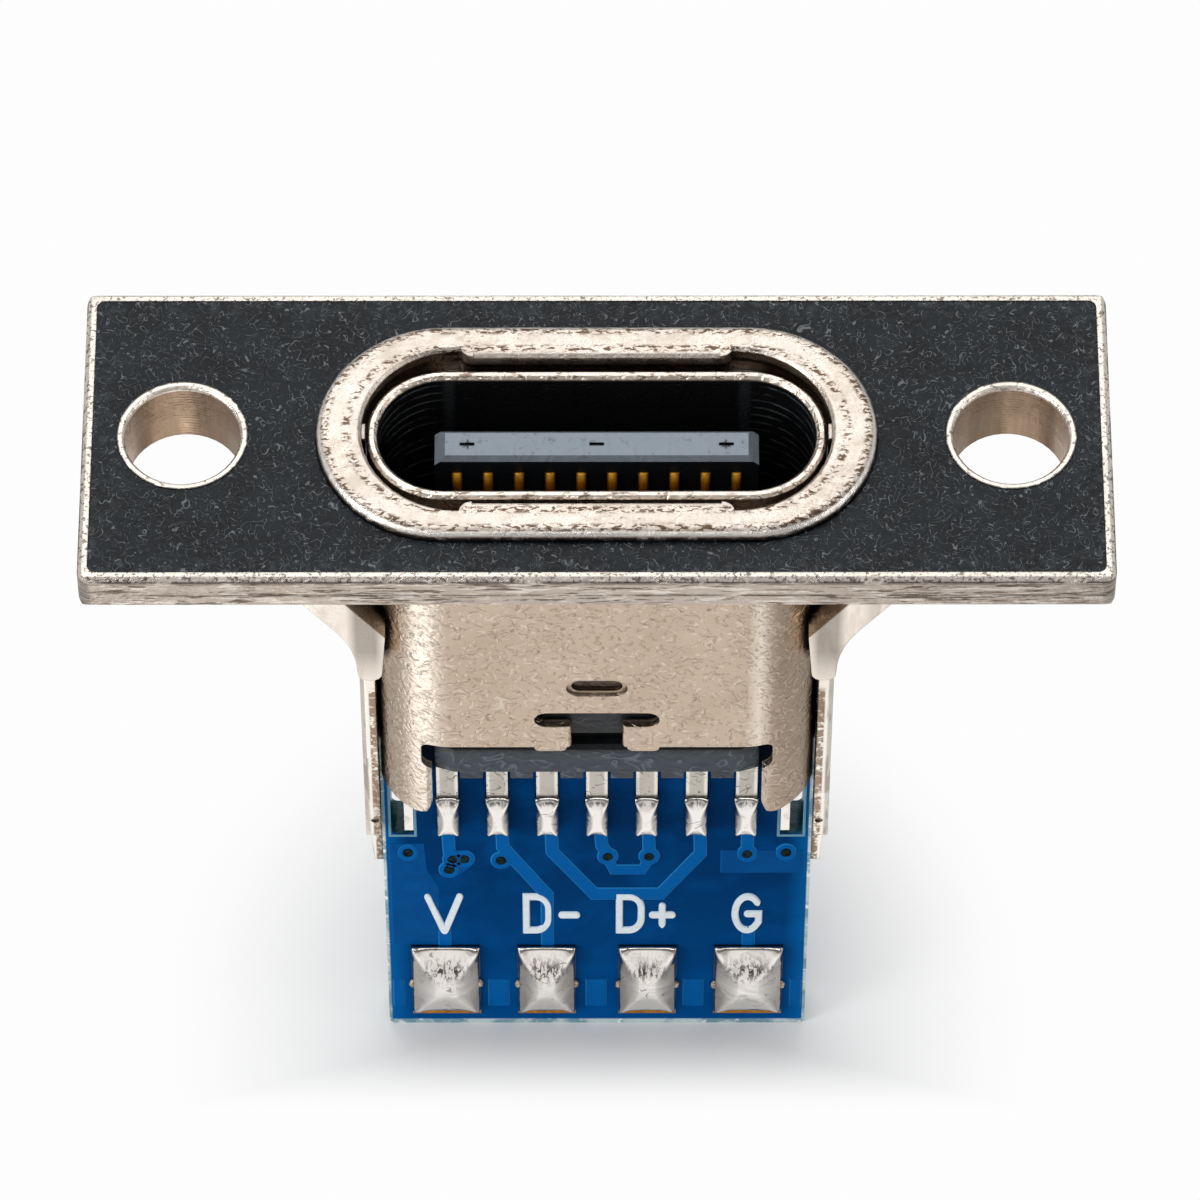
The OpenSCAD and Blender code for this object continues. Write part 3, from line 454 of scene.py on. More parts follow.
def screw_hole_coats(tree, tone, colours, place, axes, apart, face):
    """The screw holes: warm bores with darker flutes, and a bright speckled ring round each with a broken
    dark line outside it. Returns the tone and the fine rings that the drill left, as a height."""
    aside = add(tree, "ShaderNodeMath", {0: apart[0], 1: SCREW_PITCH / 2}, operation="SUBTRACT")
    from_screw = flat_distance(tree, aside, axes[1])
    near = between(tree, from_screw, -1, SCREW_R + 0.03, 0.01)
    bore = both(tree, near, between(tree, axes[2], -FAR, -0.09, 0.02))
    cuts = both(tree, ripples(tree, axes[2], BORE_PITCH), bore,
                blotches(tree, place, 0.5, 0.35, 0.6, (1, 1, 3)))
    flutes = blotches(tree, place, 0.6, 0.46, 0.62, (1, 1, 0.1))
    seat = both(tree, face, between(tree, from_screw, SCREW_R - 0.2, SCREW_R + 0.15, 0.01))
    seat_edge = both(tree, face, between(tree, from_screw, SCREW_R + 0.115, SCREW_R + 0.15, 0.008))
    tone = coats(
        tree, tone,
        ("#ab9077", bore),
        ("#6e5a48", both(tree, bore, flutes), 0.55),
        ("#fbf1e6", seat, 0.8),
        (colours.casting_dark, both(tree, seat, blotches(tree, place, 0.12, 0.57, 0.62)), 0.7),
        (CASTING_GRIME_AND_SHADE, both(tree, seat_edge, blotches(tree, place, 0.25, 0.38, 0.46)), 0.8))
    return tone, cuts


def nickel_casting(colours):
    """Nickel-plated zinc die casting, tumbled: painted white glints all over, bright and satin on the raised
    collar, with brown speckles on its slopes, streaked and pitted on the plate's edges, warm with fine rings
    inside the screw holes, and painted shade in its narrow corners."""
    material, tree, place, axes, apart = new_material("nickel_plated_zinc")
    face = between(tree, axes[2], -0.1, 1.0, 0.02)
    under = between(tree, axes[2], -FAR, EAR_ROOT, 0.03)
    tone = coats(
        tree, colours.casting,
        ("#ac9f91", blotches(tree, place, 0.7, 0.5, 0.68), 0.35),
        # painted glints: small white flecks all over the casting
        ("#fff8ef", blotches(tree, place, 0.22, 0.56, 0.66, twist=0.8), 0.5))
    tone = collar_coats(tree, tone, place, axes, apart, face)
    tone = plate_edge_coats(tree, tone, colours, place, axes, apart, face)
    tone = ear_coats(tree, tone, place, axes, apart, under)
    tone, cuts = screw_hole_coats(tree, tone, colours, place, axes, apart, face)
    # the grain of the casting, smoother on the ears and arms
    calm = add(tree, "ShaderNodeMapRange", {0: under, 1: 0, 2: 1, 3: 1, 4: 0.25})
    grain = both(tree, blotches(tree, place, 0.14, 0.35, 0.7, detail=5.0), calm)
    height = add(tree, "ShaderNodeMath", {0: cuts, 1: 0.3, 2: grain}, operation="MULTIPLY_ADD")
    # painted shade in the casting's narrow corners, by the crevice colour
    finish(tree, tone, height, 0.01, edge=0.04, crevice=CASTING_GRIME_AND_SHADE, Metallic=1.0,
           Roughness=patchy(tree, place, 0.9, 0.2, 0.38))
    return material


def black_film(colours):
    """Black polyester film with a soft sheen: short hair-like scuffs all over, thicker towards its border,
    that catch the light."""
    material, tree, place, _, apart = new_material("black_polyester_film")
    end = {1: PLATE_HALF_X - 0.9, 2: PLATE_HALF_X - 0.3, 3: 0, 4: 1}
    side = {1: PLATE_HALF_Y - 0.7, 2: PLATE_HALF_Y - 0.3, 3: 0, 4: 1}
    border = either(tree, add(tree, "ShaderNodeMapRange", {0: apart[0], **end}),
                    add(tree, "ShaderNodeMapRange", {0: apart[1], **side}))
    fine = blotches(tree, place, 0.2, 0.5, 0.62, detail=5.0)
    grain = blotches(tree, place, 0.07, 0.42, 0.66, detail=3.0)
    marks = either(tree, hairs(tree, place, size=0.36, seed=3.0, levels=6, thin=0.96, gaps=0.44),
                   hairs(tree, place, size=0.24, seed=11.0, levels=5, thin=0.96, gaps=0.46))
    tone = coats(
        tree, colours.film,
        ("#1d242a", blotches(tree, place, 1.3, 0.4, 0.66), 0.8),
        ("#43474a", both(tree, border, fine), 0.6),
        ("#2a3136", grain, 0.35),
        (colours.film_hair, marks, 0.45))
    waves = curls(tree, place, size=0.4, seed=7.0, levels=4)
    height = add(tree, "ShaderNodeMath", {0: waves, 1: 0.4, 2: marks}, operation="MULTIPLY_ADD")
    finish(tree, tone, height, 0.006, Roughness=0.38, Specular_IOR_Level=0.19)
    return material


def nickel_sheet(colours):
    """Drawn stainless sheet with warm matte nickel plating: a champagne tone, painted highlights on the turns
    towards the front and painted shade towards the right end, dense short curly marks with painted lit and
    shaded sides, and an inside painted near-black as shade, with the faint rings of the drawing punch."""
    material, tree, place, axes, apart = new_material("nickel_plated_sheet")
    front = between(tree, axes[1], -FAR, -0.5, 0.3)
    wave = both(tree, curls(tree, place, size=0.34, seed=5.0, levels=4),
                blotches(tree, place, 0.16, 0.42, 0.52, detail=1.0))
    lit = add(tree, "ShaderNodeMapRange", {0: wave, 1: 0.75, 2: 0.99, 3: 0, 4: 1})
    shaded = add(tree, "ShaderNodeMapRange", {0: wave, 1: -0.78, 2: -0.99, 3: 0, 4: 1})
    # the pressed oval: its rim catches the light, its floor is in shade
    oval = both(tree, between(tree, axes[0], -DIMPLE_HALF_X, DIMPLE_HALF_X, 0.02),
                between(tree, axes[2], *DIMPLE_Z, 0.02))
    sunk = both(tree, oval, between(tree, axes[1], -SHELL_R + 0.075, 0, 0.015))
    lip = both(tree, oval, between(tree, axes[1], -SHELL_R + 0.012, -SHELL_R + 0.05, 0.006))
    tone = coats(
        tree, colours.sheet,
        ("#b7a28d", blotches(tree, place, 1.5, 0.4, 0.66), 0.5),
        # painted highlights on the shell's turns towards the front
        ("#fbf0e3", both(tree, between(tree, axes[0], -3.6, -3.2, 0.3), front), 0.8),
        ("#fdf0e0", both(tree, between(tree, axes[0], 3.05, 3.3, 0.12), front), 0.7),
        # painted shade towards the shell's right end
        ("#a68b73", between(tree, axes[0], 3.45, FAR, 0.12), 0.4),
        (colours.sheet_dark, shaded, 0.65),
        ("#eadccc", lit, 0.5),
        ("#7d6854", hairs(tree, place, size=0.36, seed=17.0, levels=4, thin=0.94, gaps=0.52), 0.55),
        ("#3d3026", sunk, 0.9),
        ("#fff6ea", lip, 0.8))
    # the drawn wall inside the mouth, painted near-black as shade, with faint rings at its ends and two ribs
    # at its back painted as lighter bands
    radius = oval_distance(tree, axes, apart)
    inside = between(tree, radius, -1, SHELL_R - 0.15, 0.02)
    wall = both(tree, inside, between(tree, axes[2], -FAR, -0.02, 0.03))
    rings = both(tree, between(tree, ripples(tree, axes[2], PUNCH_PITCH), 0.8, 2, 0.1),
                 blotches(tree, place, 0.7, 0.45, 0.55, (1, 1, 3)),
                 between(tree, apart[0], SHELL_STRAIGHT + 0.2, FAR, 0.3))
    ribs = both(tree, between(tree, apart[0], 2.72, 2.92, 0.05), between(tree, axes[1], 0, FAR, 0.1))
    # painted shade inside the mouth: near-black, with lighter rings and rib bands
    dull = coats(tree, "#0d0f11", ("#83878a", rings, 0.35), ("#2c3033", ribs, 0.6))
    worn = both(tree, between(tree, axes[2], -0.02, FAR, 0.01),
                blotches(tree, place, 0.1, 0.56, 0.62, (0.4, 1, 1)))
    tone = coats(
        tree, tone,
        (dull, wall),
        ("#f9eee2", between(tree, axes[2], 0.0, FAR, 0.012), 0.75),
        ("#6b5646", worn, 0.8))
    # metal everywhere but on the inside wall, which is painted as shade
    bright = add(tree, "ShaderNodeMath", {0: 1.0, 1: wall}, operation="SUBTRACT")
    # painted shade in the shell's narrow corners, by the crevice colour
    finish(tree, tone, wave, 0.006, edge=0.03, crevice="#4a3b2e", Metallic=bright,
           Roughness=patchy(tree, place, 1.2, 0.26, 0.38))
    return material


def liquid_crystal_polymer(colours):
    """Injection-moulded liquid crystal polymer: near black and satin, painted pale slate as light on its
    upward faces, with fine scratches, flow marks and two torn gate marks on the tongue's tip."""
    material, tree, place, axes, apart = new_material("moulded_polymer")
    up = add(tree, "ShaderNodeMapRange", {0: slope_of(tree)[2], 1: 0.45, 2: 0.95, 3: 0, 4: 1})
    tip = both(tree, up, between(tree, axes[2], -0.62, 1, 0.1))
    behind = between(tree, axes[2], -FAR, BLOCK_TOP, 0.1)
    shown = either(tree, tip, behind)
    marks = curls(tree, place, size=0.45, seed=7.0, levels=3)
    lit = add(tree, "ShaderNodeMapRange", {0: marks, 1: 0.7, 2: 0.98, 3: 0, 4: 1})
    stem = both(tree, between(tree, apart[0], GATE_X - 0.02, GATE_X + 0.02, 0.015),
                between(tree, axes[1], -0.11, 0.1, 0.03))
    torn = both(tree, between(tree, apart[0], GATE_X - 0.09, GATE_X + 0.11, 0.02),
                between(tree, axes[1], -0.07, 0.05, 0.02),
                blotches(tree, place, 0.08, 0.48, 0.56))
    tone = coats(
        tree, colours.moulding,
        # painted light on upward faces: pale slate near the tongue's tip, a lighter slate on the block
        (colours.moulding_tip, tip),
        ("#434d57", behind, 0.6),
        ("#66717b", both(tree, behind, up), 0.4),
        ("#9aa3ab", both(tree, lit, shown, blotches(tree, place, 0.3, 0.42, 0.52)), 0.25),
        ("#1c1f22", both(tree, shown, blotches(tree, place, 0.16, 0.58, 0.7)), 0.4),
        ("#050607", both(tree, tip, either(tree, stem, torn)), 0.9))
    # painted shade in the insulator's narrow corners, by the crevice colour
    finish(tree, tone, marks, 0.004, edge=0.03, crevice="#040506", Specular_IOR_Level=0.25,
           Roughness=patchy(tree, place, 0.4, 0.35, 0.5))
    return material


def stamped_steel(colours):
    """Stamped stainless steel with the grain of the strip it was cut from."""
    material, tree, place, _, _ = new_material("stainless_steel")
    grain = blotches(tree, place, 0.05, 0.3, 0.7, (1, 1, 0.04))
    rough = add(tree, "ShaderNodeMapRange", {0: grain, 1: 0, 2: 1, 3: 0.25, 4: 0.4})
    finish(tree, colours.steel, grain, 0.003, Metallic=1.0, Roughness=rough)
    return material


def plated_contact():
    """Phosphor bronze contact. The finger is gold plated, with a painted highlight at its tip and painted
    shade along its sides and deeper in the mouth. The lead is tinned, a little dull inside a bright border,
    and scratched."""
    material, tree, place, axes, _ = new_material("plated_phosphor_bronze")
    lead = between(tree, axes[2], -FAR, LEAD_TOP, 0.1)
    down = add(tree, "ShaderNodeMapRange", {0: axes[2], 1: -0.8, 2: -1.0, 3: 0, 4: 1})
    deeper = add(tree, "ShaderNodeMapRange", {0: axes[2], 1: -0.9, 2: -1.4, 3: 0, 4: 1})
    beside_finger = from_middle(tree, axes[0], FINGER_PITCH, 0)
    beside_finger = add(tree, "ShaderNodeMapRange", {0: beside_finger, 1: 0.08, 2: 0.16, 3: 0, 4: 1})
    flat = between(tree, from_middle(tree, axes[0], LEAD_PITCH, 0.5), -0.15, 0.15, 0.02)
    border = add(tree, "ShaderNodeMath", {0: 1.0, 1: flat}, operation="SUBTRACT")
    grey = blotches(tree, place, 0.4, 0.5, 0.66, (1, 1, 0.5), twist=0.5)
    scratch = hairs(tree, place, size=0.3, seed=2.0, levels=3, thin=0.95, gaps=0.42)
    # painted light on the fingers: a highlight at the tip, shade along the sides and deeper in the mouth
    tone = coats(
        tree, "#ffb940",
        ("#f08c12", down),
        ("#5e3208", beside_finger, 0.8),
        ("#6a3404", deeper, 0.9),
        ("#8a4f12", blotches(tree, place, 0.12, 0.5, 0.66, (1, 1, 0.4)), 0.4),
        ("#d3ccc2", lead),
        ("#a39d94", both(tree, lead, flat), 0.5),
        ("#fbf7f1", both(tree, lead, border), 0.5),
        ("#a59f97", both(tree, lead, grey), 0.4),
        ("#5a544d", both(tree, lead, scratch), 0.7))
    metal = add(tree, "ShaderNodeMapRange", {0: lead, 1: 0, 2: 1, 3: 0.3, 4: 1})
    # painted shade in the contacts' narrow corners, by the crevice colour
    finish(tree, tone, scratch, 0.003, edge=0.03, crevice="#2a2521", Metallic=metal, Roughness=0.25,
           Specular_IOR_Level=0.05)
    return material


def gold_plate(colours):
    """Immersion gold over copper: a mottled gold edge along the foot of the pads, below the solder, and dull
    brown above it."""
    material, tree, place, axes, _ = new_material("immersion_gold")
    mottle = blotches(tree, place, 0.2, 0.4, 0.65)
    gold = over(tree, colours.gold, "#8f5e1c", mottle, 0.7)
    tone = over(tree, "#4a4036", gold, between(tree, axes[2], -FAR, PAD_FOOT + 0.22, 0.03))
    finish(tree, tone, mottle, 0.004, Metallic=1.0, Roughness=0.3)
    return material


def bright_solder(colours):
    """Lead-free solder, hand flowed: mirror bright, with dark streaks in the band near its top that the mark
    attribute gives, frosty on the wire pads and a painted shadow on the leads' joints, and a little burnt
    flux.
    Its four slopes are painted lighter or darker by the way they face, as shade, which brings out the ridges
    between them."""
    material, tree, place, _, _ = new_material("tin_silver_solder")
    # the mark attribute's band: frosty dark streaks on the wire pads, painted shadow near the top of the
    # leads' joints
    band = add(tree, "ShaderNodeAttribute", attribute_name="mark").outputs["Fac"]
    slope = slope_of(tree)
    # painted shade: each slope made lighter or darker by the way it faces
    sideways = add(tree, "ShaderNodeMath", {0: slope[0]}, operation="ABSOLUTE")
    sideways = add(tree, "ShaderNodeMapRange", {0: sideways, 1: 0.2, 2: 0.55, 3: 0, 4: 1})
    upward = add(tree, "ShaderNodeMapRange", {0: slope[2], 1: 0.2, 2: 0.6, 3: 0, 4: 1})
    downward = add(tree, "ShaderNodeMapRange", {0: slope[2], 1: -0.25, 2: -0.7, 3: 0, 4: 1})
    streaks = blotches(tree, place, 0.12, 0.49, 0.55, (1.8, 1, 0.5), twist=0.8)
    tone = coats(
        tree, colours.tin,
        ("#aaa49c", blotches(tree, place, 0.35, 0.54, 0.66, (1, 1, 0.6), twist=0.8), 0.4),
        ("#a09a93", band, 0.4),
        ("#756e66", sideways, 0.65),
        ("#57524d", upward, 0.35),
        ("#b5aa9e", downward, 0.5),
        ("#262220", both(tree, band, streaks), 0.95),
        ("#6b5a49", hairs(tree, place, size=0.5, seed=9.0, levels=2, thin=0.95, gaps=0.55), 0.6))
    finish(tree, tone, blotches(tree, place, 0.6, 0.3, 0.7, detail=2.0, twist=0.6), 0.012, Metallic=1.0,
           Roughness=patchy(tree, place, 0.4, 0.08, 0.22))
    return material


def burnt_flux():
    """Burnt rosin flux: small glassy brown beads."""
    material, tree, place, _, _ = new_material("burnt_rosin_flux")
    mottle = blotches(tree, place, 0.06, 0.4, 0.6)
    finish(tree, over(tree, "#7d5c34", "#e9dcc4", mottle, 0.8), mottle, 0.004, Roughness=0.2)
    return material


def solder_mask_board(colours):
    """Fibreglass board: deep blue solder mask on both faces, lighter low down and along its sides and in
    deep shade under the shell, a pale bare margin where the mask stops short of the cut, and glass cloth with
    white flecks on the cut edges."""
    material, tree, place, axes, apart = new_material("solder_mask_on_fibreglass")
    low = add(tree, "ShaderNodeMapRange", {0: axes[2], 1: -15.0, 2: -20.5, 3: 0, 4: 0.55})
    cut = add(tree, "ShaderNodeMapRange", {0: apart[1], 1: -FACE_Y - 0.02, 2: -FACE_Y - 0.01, 3: 1, 4: 0})
    bare = either(tree, between(tree, apart[0], BOARD_HALF_X - 0.06, FAR, 0.012),
                  between(tree, axes[2], -FAR, BOARD_FOOT + 0.16, 0.02), cut)
    # painted shade in the anchor slots: their walls are a dark teal
    slot_wall = both(tree, between(tree, apart[0], SLOT_X[0] - 0.07, SLOT_X[1] + 0.05, 0.01),
                     between(tree, axes[2], SLOT_Z[0] - 0.04, SLOT_Z[1] + 0.05, 0.01))
    glass = coats(
        tree, colours.fibreglass,
        ("#2f7f96", blotches(tree, place, 0.3, 0.44, 0.56, (0.5, 1, 0.5)), 0.75),
        ("#ffffff", blotches(tree, place, 0.2, 0.58, 0.64), 0.9),
        ("#0a4650", slot_wall))
    tone = coats(
        tree, colours.mask,
        (colours.mask_light, low),
        (colours.mask_light, blotches(tree, place, 1.3, 0.45, 0.7), 0.4),
        ("#0a70ba", between(tree, apart[0], BOARD_HALF_X - 0.3, FAR, 0.18), 0.5),
        ("#05080c", between(tree, axes[2], BOARD_SHADE, FAR, 0.12), 0.85),
        (glass, bare))
    gloss = add(tree, "ShaderNodeMapRange", {0: bare, 1: 0, 2: 1, 3: 0.004, 4: 0.35})
    weave = both(tree, bare, blotches(tree, place, 0.25, 0.3, 0.7))
    finish(tree, tone, weave, 0.02, Roughness=0.28, Specular_IOR_Level=gloss)
    return material


def marked_surface(name, body, mottling, strength, edge, edge_strength, size, **shader):
    """A thin mottled coat whose mark attribute, 1 along its edges, shows what lies under it."""
    material, tree, place, _, _ = new_material(name)
    rim = add(tree, "ShaderNodeAttribute", attribute_name="mark").outputs["Fac"]
    mottle = blotches(tree, place, size, 0.4, 0.7)
    tone = coats(tree, body, (mottling, mottle, strength), (edge, rim, edge_strength))
    finish(tree, tone, mottle, 0.004, **shader)
    return material


def masked_copper(name, body, edge):
    """Solder mask over copper: a lighter blue, palest where the mask thins on the edge of the copper."""
    return marked_surface(
        name, body, "#0063ab", 0.3, edge, 0.8, 0.5, Roughness=0.28, Specular_IOR_Level=0.01)


def printed_ink(colours):
    """Screen-printed epoxy ink: white, with blue showing through its thin edges."""
    return marked_surface(
        "screen_printed_ink", colours.ink, "#c3dcea", 0.4, "#8dbbd8", 0.6, 0.12, Roughness=0.5)


def via_pool():
    """Solder mask pooled in the mouth of a plated hole: dark, glossy, slightly green."""
    material, tree, place, _, _ = new_material("masked_via")
    mottle = blotches(tree, place, 0.1, 0.45, 0.6)
    tone = over(tree, "#020a0c", "#0a2a30", mottle)
    finish(tree, tone, mottle, 0.004, Roughness=0.25, Specular_IOR_Level=0.02)
    return material


def studio_paper(colours):
    """Studio floor: matte paper near the socket, so that it takes its shadow, which passes into pure white
    further out. To the metal it is darker out to the sides."""
    material, tree, _, axes, apart = new_material("studio_floor")
    path = add(tree, "ShaderNodeLightPath").outputs
    seen = either(tree, path["Is Camera Ray"], path["Is Glossy Ray"], path["Is Transmission Ray"])
    away = flat_distance(tree, axes[0], axes[1])
    around = add(tree, "ShaderNodeMapRange", {0: away, 1: 2.5, 2: 9.5, 3: 0, 4: 1}, **SMOOTH)
    front = add(tree, "ShaderNodeMapRange", {0: axes[1], 1: -0.6, 2: -2.6, 3: 0, 4: 1}, **SMOOTH)
    white = both(tree, either(tree, around, front), seen)
    sides = add(tree, "ShaderNodeMapRange", {0: apart[0], 1: 7.0, 2: 12.0, 3: 0, 4: 0.45})
    dim = both(tree, sides, path["Is Glossy Ray"])
    strength = add(tree, "ShaderNodeMath", {0: 0.985, 1: dim}, operation="SUBTRACT")
    matte = add(tree, "ShaderNodeBsdfPrincipled",
                {"Base Color": colours.floor, "Roughness": 1.0, "Specular IOR Level": 0.0})
    glow = add(tree, "ShaderNodeEmission", {"Color": WHITE, "Strength": strength})
    mixed = add(tree, "ShaderNodeMixShader", {0: white, 1: matte, 2: glow})
    add(tree, "ShaderNodeOutputMaterial", {"Surface": mixed})
    return material


# ---------------------------------------------------------------- surfaces
# A shape is points in mm, faces, and a mark for each point, which its finish reads.


def piece(name, shape, material, smooth=True):
    """Makes one object from a shape and rides it on the socket."""
    points, faces, mark = shape
    mesh = bpy.data.meshes.new(name)
    mesh.from_pydata((points * MM).tolist(), [], faces.tolist())
    mesh.polygons.foreach_set("use_smooth", np.full(len(mesh.polygons), smooth))
    mesh.attributes.new("mark", "FLOAT", "POINT").data.foreach_set("value", np.asarray(mark, np.float32))
    mesh.materials.append(material)
    mesh.update()
    made = bpy.data.objects.new(name, mesh)
    bpy.context.scene.collection.objects.link(made)
    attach(made, BODY)
    return made


def merge(parts):
    """Joins several shapes into one."""
    points, faces, marks = zip(*parts)
    starts = np.cumsum([0] + [len(part) for part in points[:-1]])
    faces = [part + start for part, start in zip(faces, starts)]
    return np.vstack(points), np.vstack(faces), np.concatenate(marks)


def grid_faces(rows, columns, wrap=False, close=False):
    """Quads of a grid of rows by columns points, with the last column joined to the first if wrap, and the
    last row joined to the first if close."""
    row = np.arange(rows if close else rows - 1)[:, None]
    column = np.arange(columns if wrap else columns - 1)[None, :]
    here, below, beside = row * columns, (row + 1) % rows * columns, (column + 1) % columns
    corners = [here + column, here + beside, below + beside, below + column]
    return np.stack(corners, axis=-1).reshape(-1, 4)


def capped(rows, columns):
    """Quads of a tube of rows by columns points, wrapped round, with strips of quads across its two ends."""
    half = np.arange(columns // 2 - 1)
    first = np.stack([half, half + 1, columns - 2 - half, columns - 1 - half], 1)
    return np.vstack([grid_faces(rows, columns, wrap=True), first[:, ::-1], first + (rows - 1) * columns])


def raised(x, z, lift, faces):
    """A shape on the board's front face, as high over it as lift says. Its mark is 1 on its lowest points."""
    x, z, lift = np.broadcast_arrays(x, z, lift)
    points = np.stack([x, FACE_Y - lift, z], axis=-1).reshape(-1, 3)
    return points, faces, (lift == lift.min()).astype(float).reshape(-1)


def unit(arrows):
    """Rows of a table, each scaled to length 1."""
    return arrows / np.linalg.norm(arrows, axis=1, keepdims=True)


def outline(line, half_width, closed):
    """What a line is widened by: its points, an arrow to one side at each, and a half width for each. The
    arrows are longer at corners, so that the width stays the same. An open line gains half circles at its
    ends, where the half width is the sine of a turn and the reach past the end is its cosine."""
    direction = unit(np.diff(np.vstack([line, line[:1]]) if closed else line, axis=0))
    if closed:
        before, after = np.roll(direction, 1, axis=0), direction
    else:
        before, after = np.vstack([direction[:1], direction]), np.vstack([direction, direction[-1:]])
    before, after = (np.stack([-way[:, 1], way[:, 0]], 1) for way in (before, after))
    side = unit(before + after)
    side /= np.maximum(np.sum(side * before, axis=1, keepdims=True), 0.5)
    half = np.full(len(line), half_width)
    if closed:
        return line, side, half
    turn = np.linspace(0, math.pi / 2, 6)[:-1]
    reach = half_width * np.cos(turn)[:, None]
    taper = half_width * np.maximum(np.sin(turn), 0.05)
    line = np.vstack([line[0] - direction[0] * reach, line, line[-1] + direction[-1] * reach[::-1]])
    side = np.vstack([np.repeat(before[:1], len(turn), 0), side, np.repeat(after[-1:], len(turn), 0)])
    return line, side, np.concatenate([taper, half, taper[::-1]])


def stroke(path, width, stretch, height, closed=False):
    """A flat raised line on the board. path is its middle line as (x, z) in mm. Its outline stays width
    wide once z is divided by stretch, its cross section is a low trapezium of that height, and its open
    ends are half circles. Its mark is 1 at the foot of its sloping sides."""
    line, side, half = outline(np.asarray(path, float) / [1, stretch], width / 2, closed)
    slope = min(height * 1.5, width / 2 * 0.3)
    half = half[:, None]
    reach = np.maximum(half - [0, slope, slope, 0], half * 0.02) * [-1, -1, 1, 1]
    flat = line[:, None, :] + side[:, None, :] * reach[..., None]
    rows = len(line)
    faces = grid_faces(rows, 4, wrap=True, close=True) if closed else capped(rows, 4)
    return raised(flat[..., 0], flat[..., 1] * stretch, [0, height, height, 0], faces)


def pour(rows, height):
    """A low area of copper. rows gives its left edge, right edge and z, in mm, from the top down; its cross
    section is a trapezium with sloping sides."""
    slope = 0.03
    left, right, z = np.hsplit(np.asarray(rows, float), 3)
    x = np.hstack([left, left + slope, right - slope, right])
    return raised(x, z, [0, height, height, 0], capped(len(rows), 4))


def ring(centre, radii, lifts, stretches):
    """A low ring round a hole. radii, lifts and stretches describe its cross section from the hole outwards:
    each point's radius, height over the board, and how much longer than wide its circle is drawn."""
    count = 32
    angle = np.linspace(0, 2 * math.pi, count, endpoint=False)[:, None]
    x = centre[0] + np.asarray(radii) * np.cos(angle)
    z = centre[1] + np.multiply(stretches, radii) * np.sin(angle)
    return raised(x, z, lifts, grid_faces(count, len(radii), wrap=True, close=True)[:, ::-1])


def crown(x_mid, face):
    """The rounded top of a contact finger: half an ellipse across, swelling along a quarter circle from its
    tip to its full height, then straight. Its flat side lies in the plane y = face."""
    rows, columns = 16, 10
    # how far down the finger each row lies, as a share of its rounded tip
    along = np.append(np.linspace(0.02, 1, rows - 1) ** 1.5, 8.0)[:, None]
    swell = np.sqrt(1 - (1 - np.minimum(along, 1)) ** 2)
    turn = np.linspace(math.pi, 0, columns)[None, :]
    x = x_mid + FINGER_HALF * np.cos(turn) * (0.55 + 0.45 * swell)
    y = face - FINGER_SWELL * swell * np.sin(turn)
    z = np.broadcast_to(FINGER_TIP - FINGER_ROUND * along, x.shape)
    points = np.stack([x, y, z], axis=-1).reshape(-1, 3)
    return points, capped(rows, columns), np.zeros(len(points))


def bead(centre, radii):
    """A small drop: an ellipsoid with those radii, its poles along z, with a wobble of three waves round."""
    rows, columns = 9, 14
    turn = np.linspace(0, 2 * math.pi, columns, endpoint=False)[None, :]
    rise = np.linspace(-math.pi / 2 + 0.05, math.pi / 2 - 0.05, rows)[:, None]
    ball = np.broadcast_arrays(np.cos(rise) * np.cos(turn), np.cos(rise) * np.sin(turn), np.sin(rise))
    wobble = 1 + 0.12 * np.sin(3 * turn + 5 * rise)[..., None]
    points = (np.asarray(centre) + np.stack(ball, axis=-1) * radii * wobble).reshape(-1, 3)
    return points, capped(rows, columns), np.zeros(len(points))


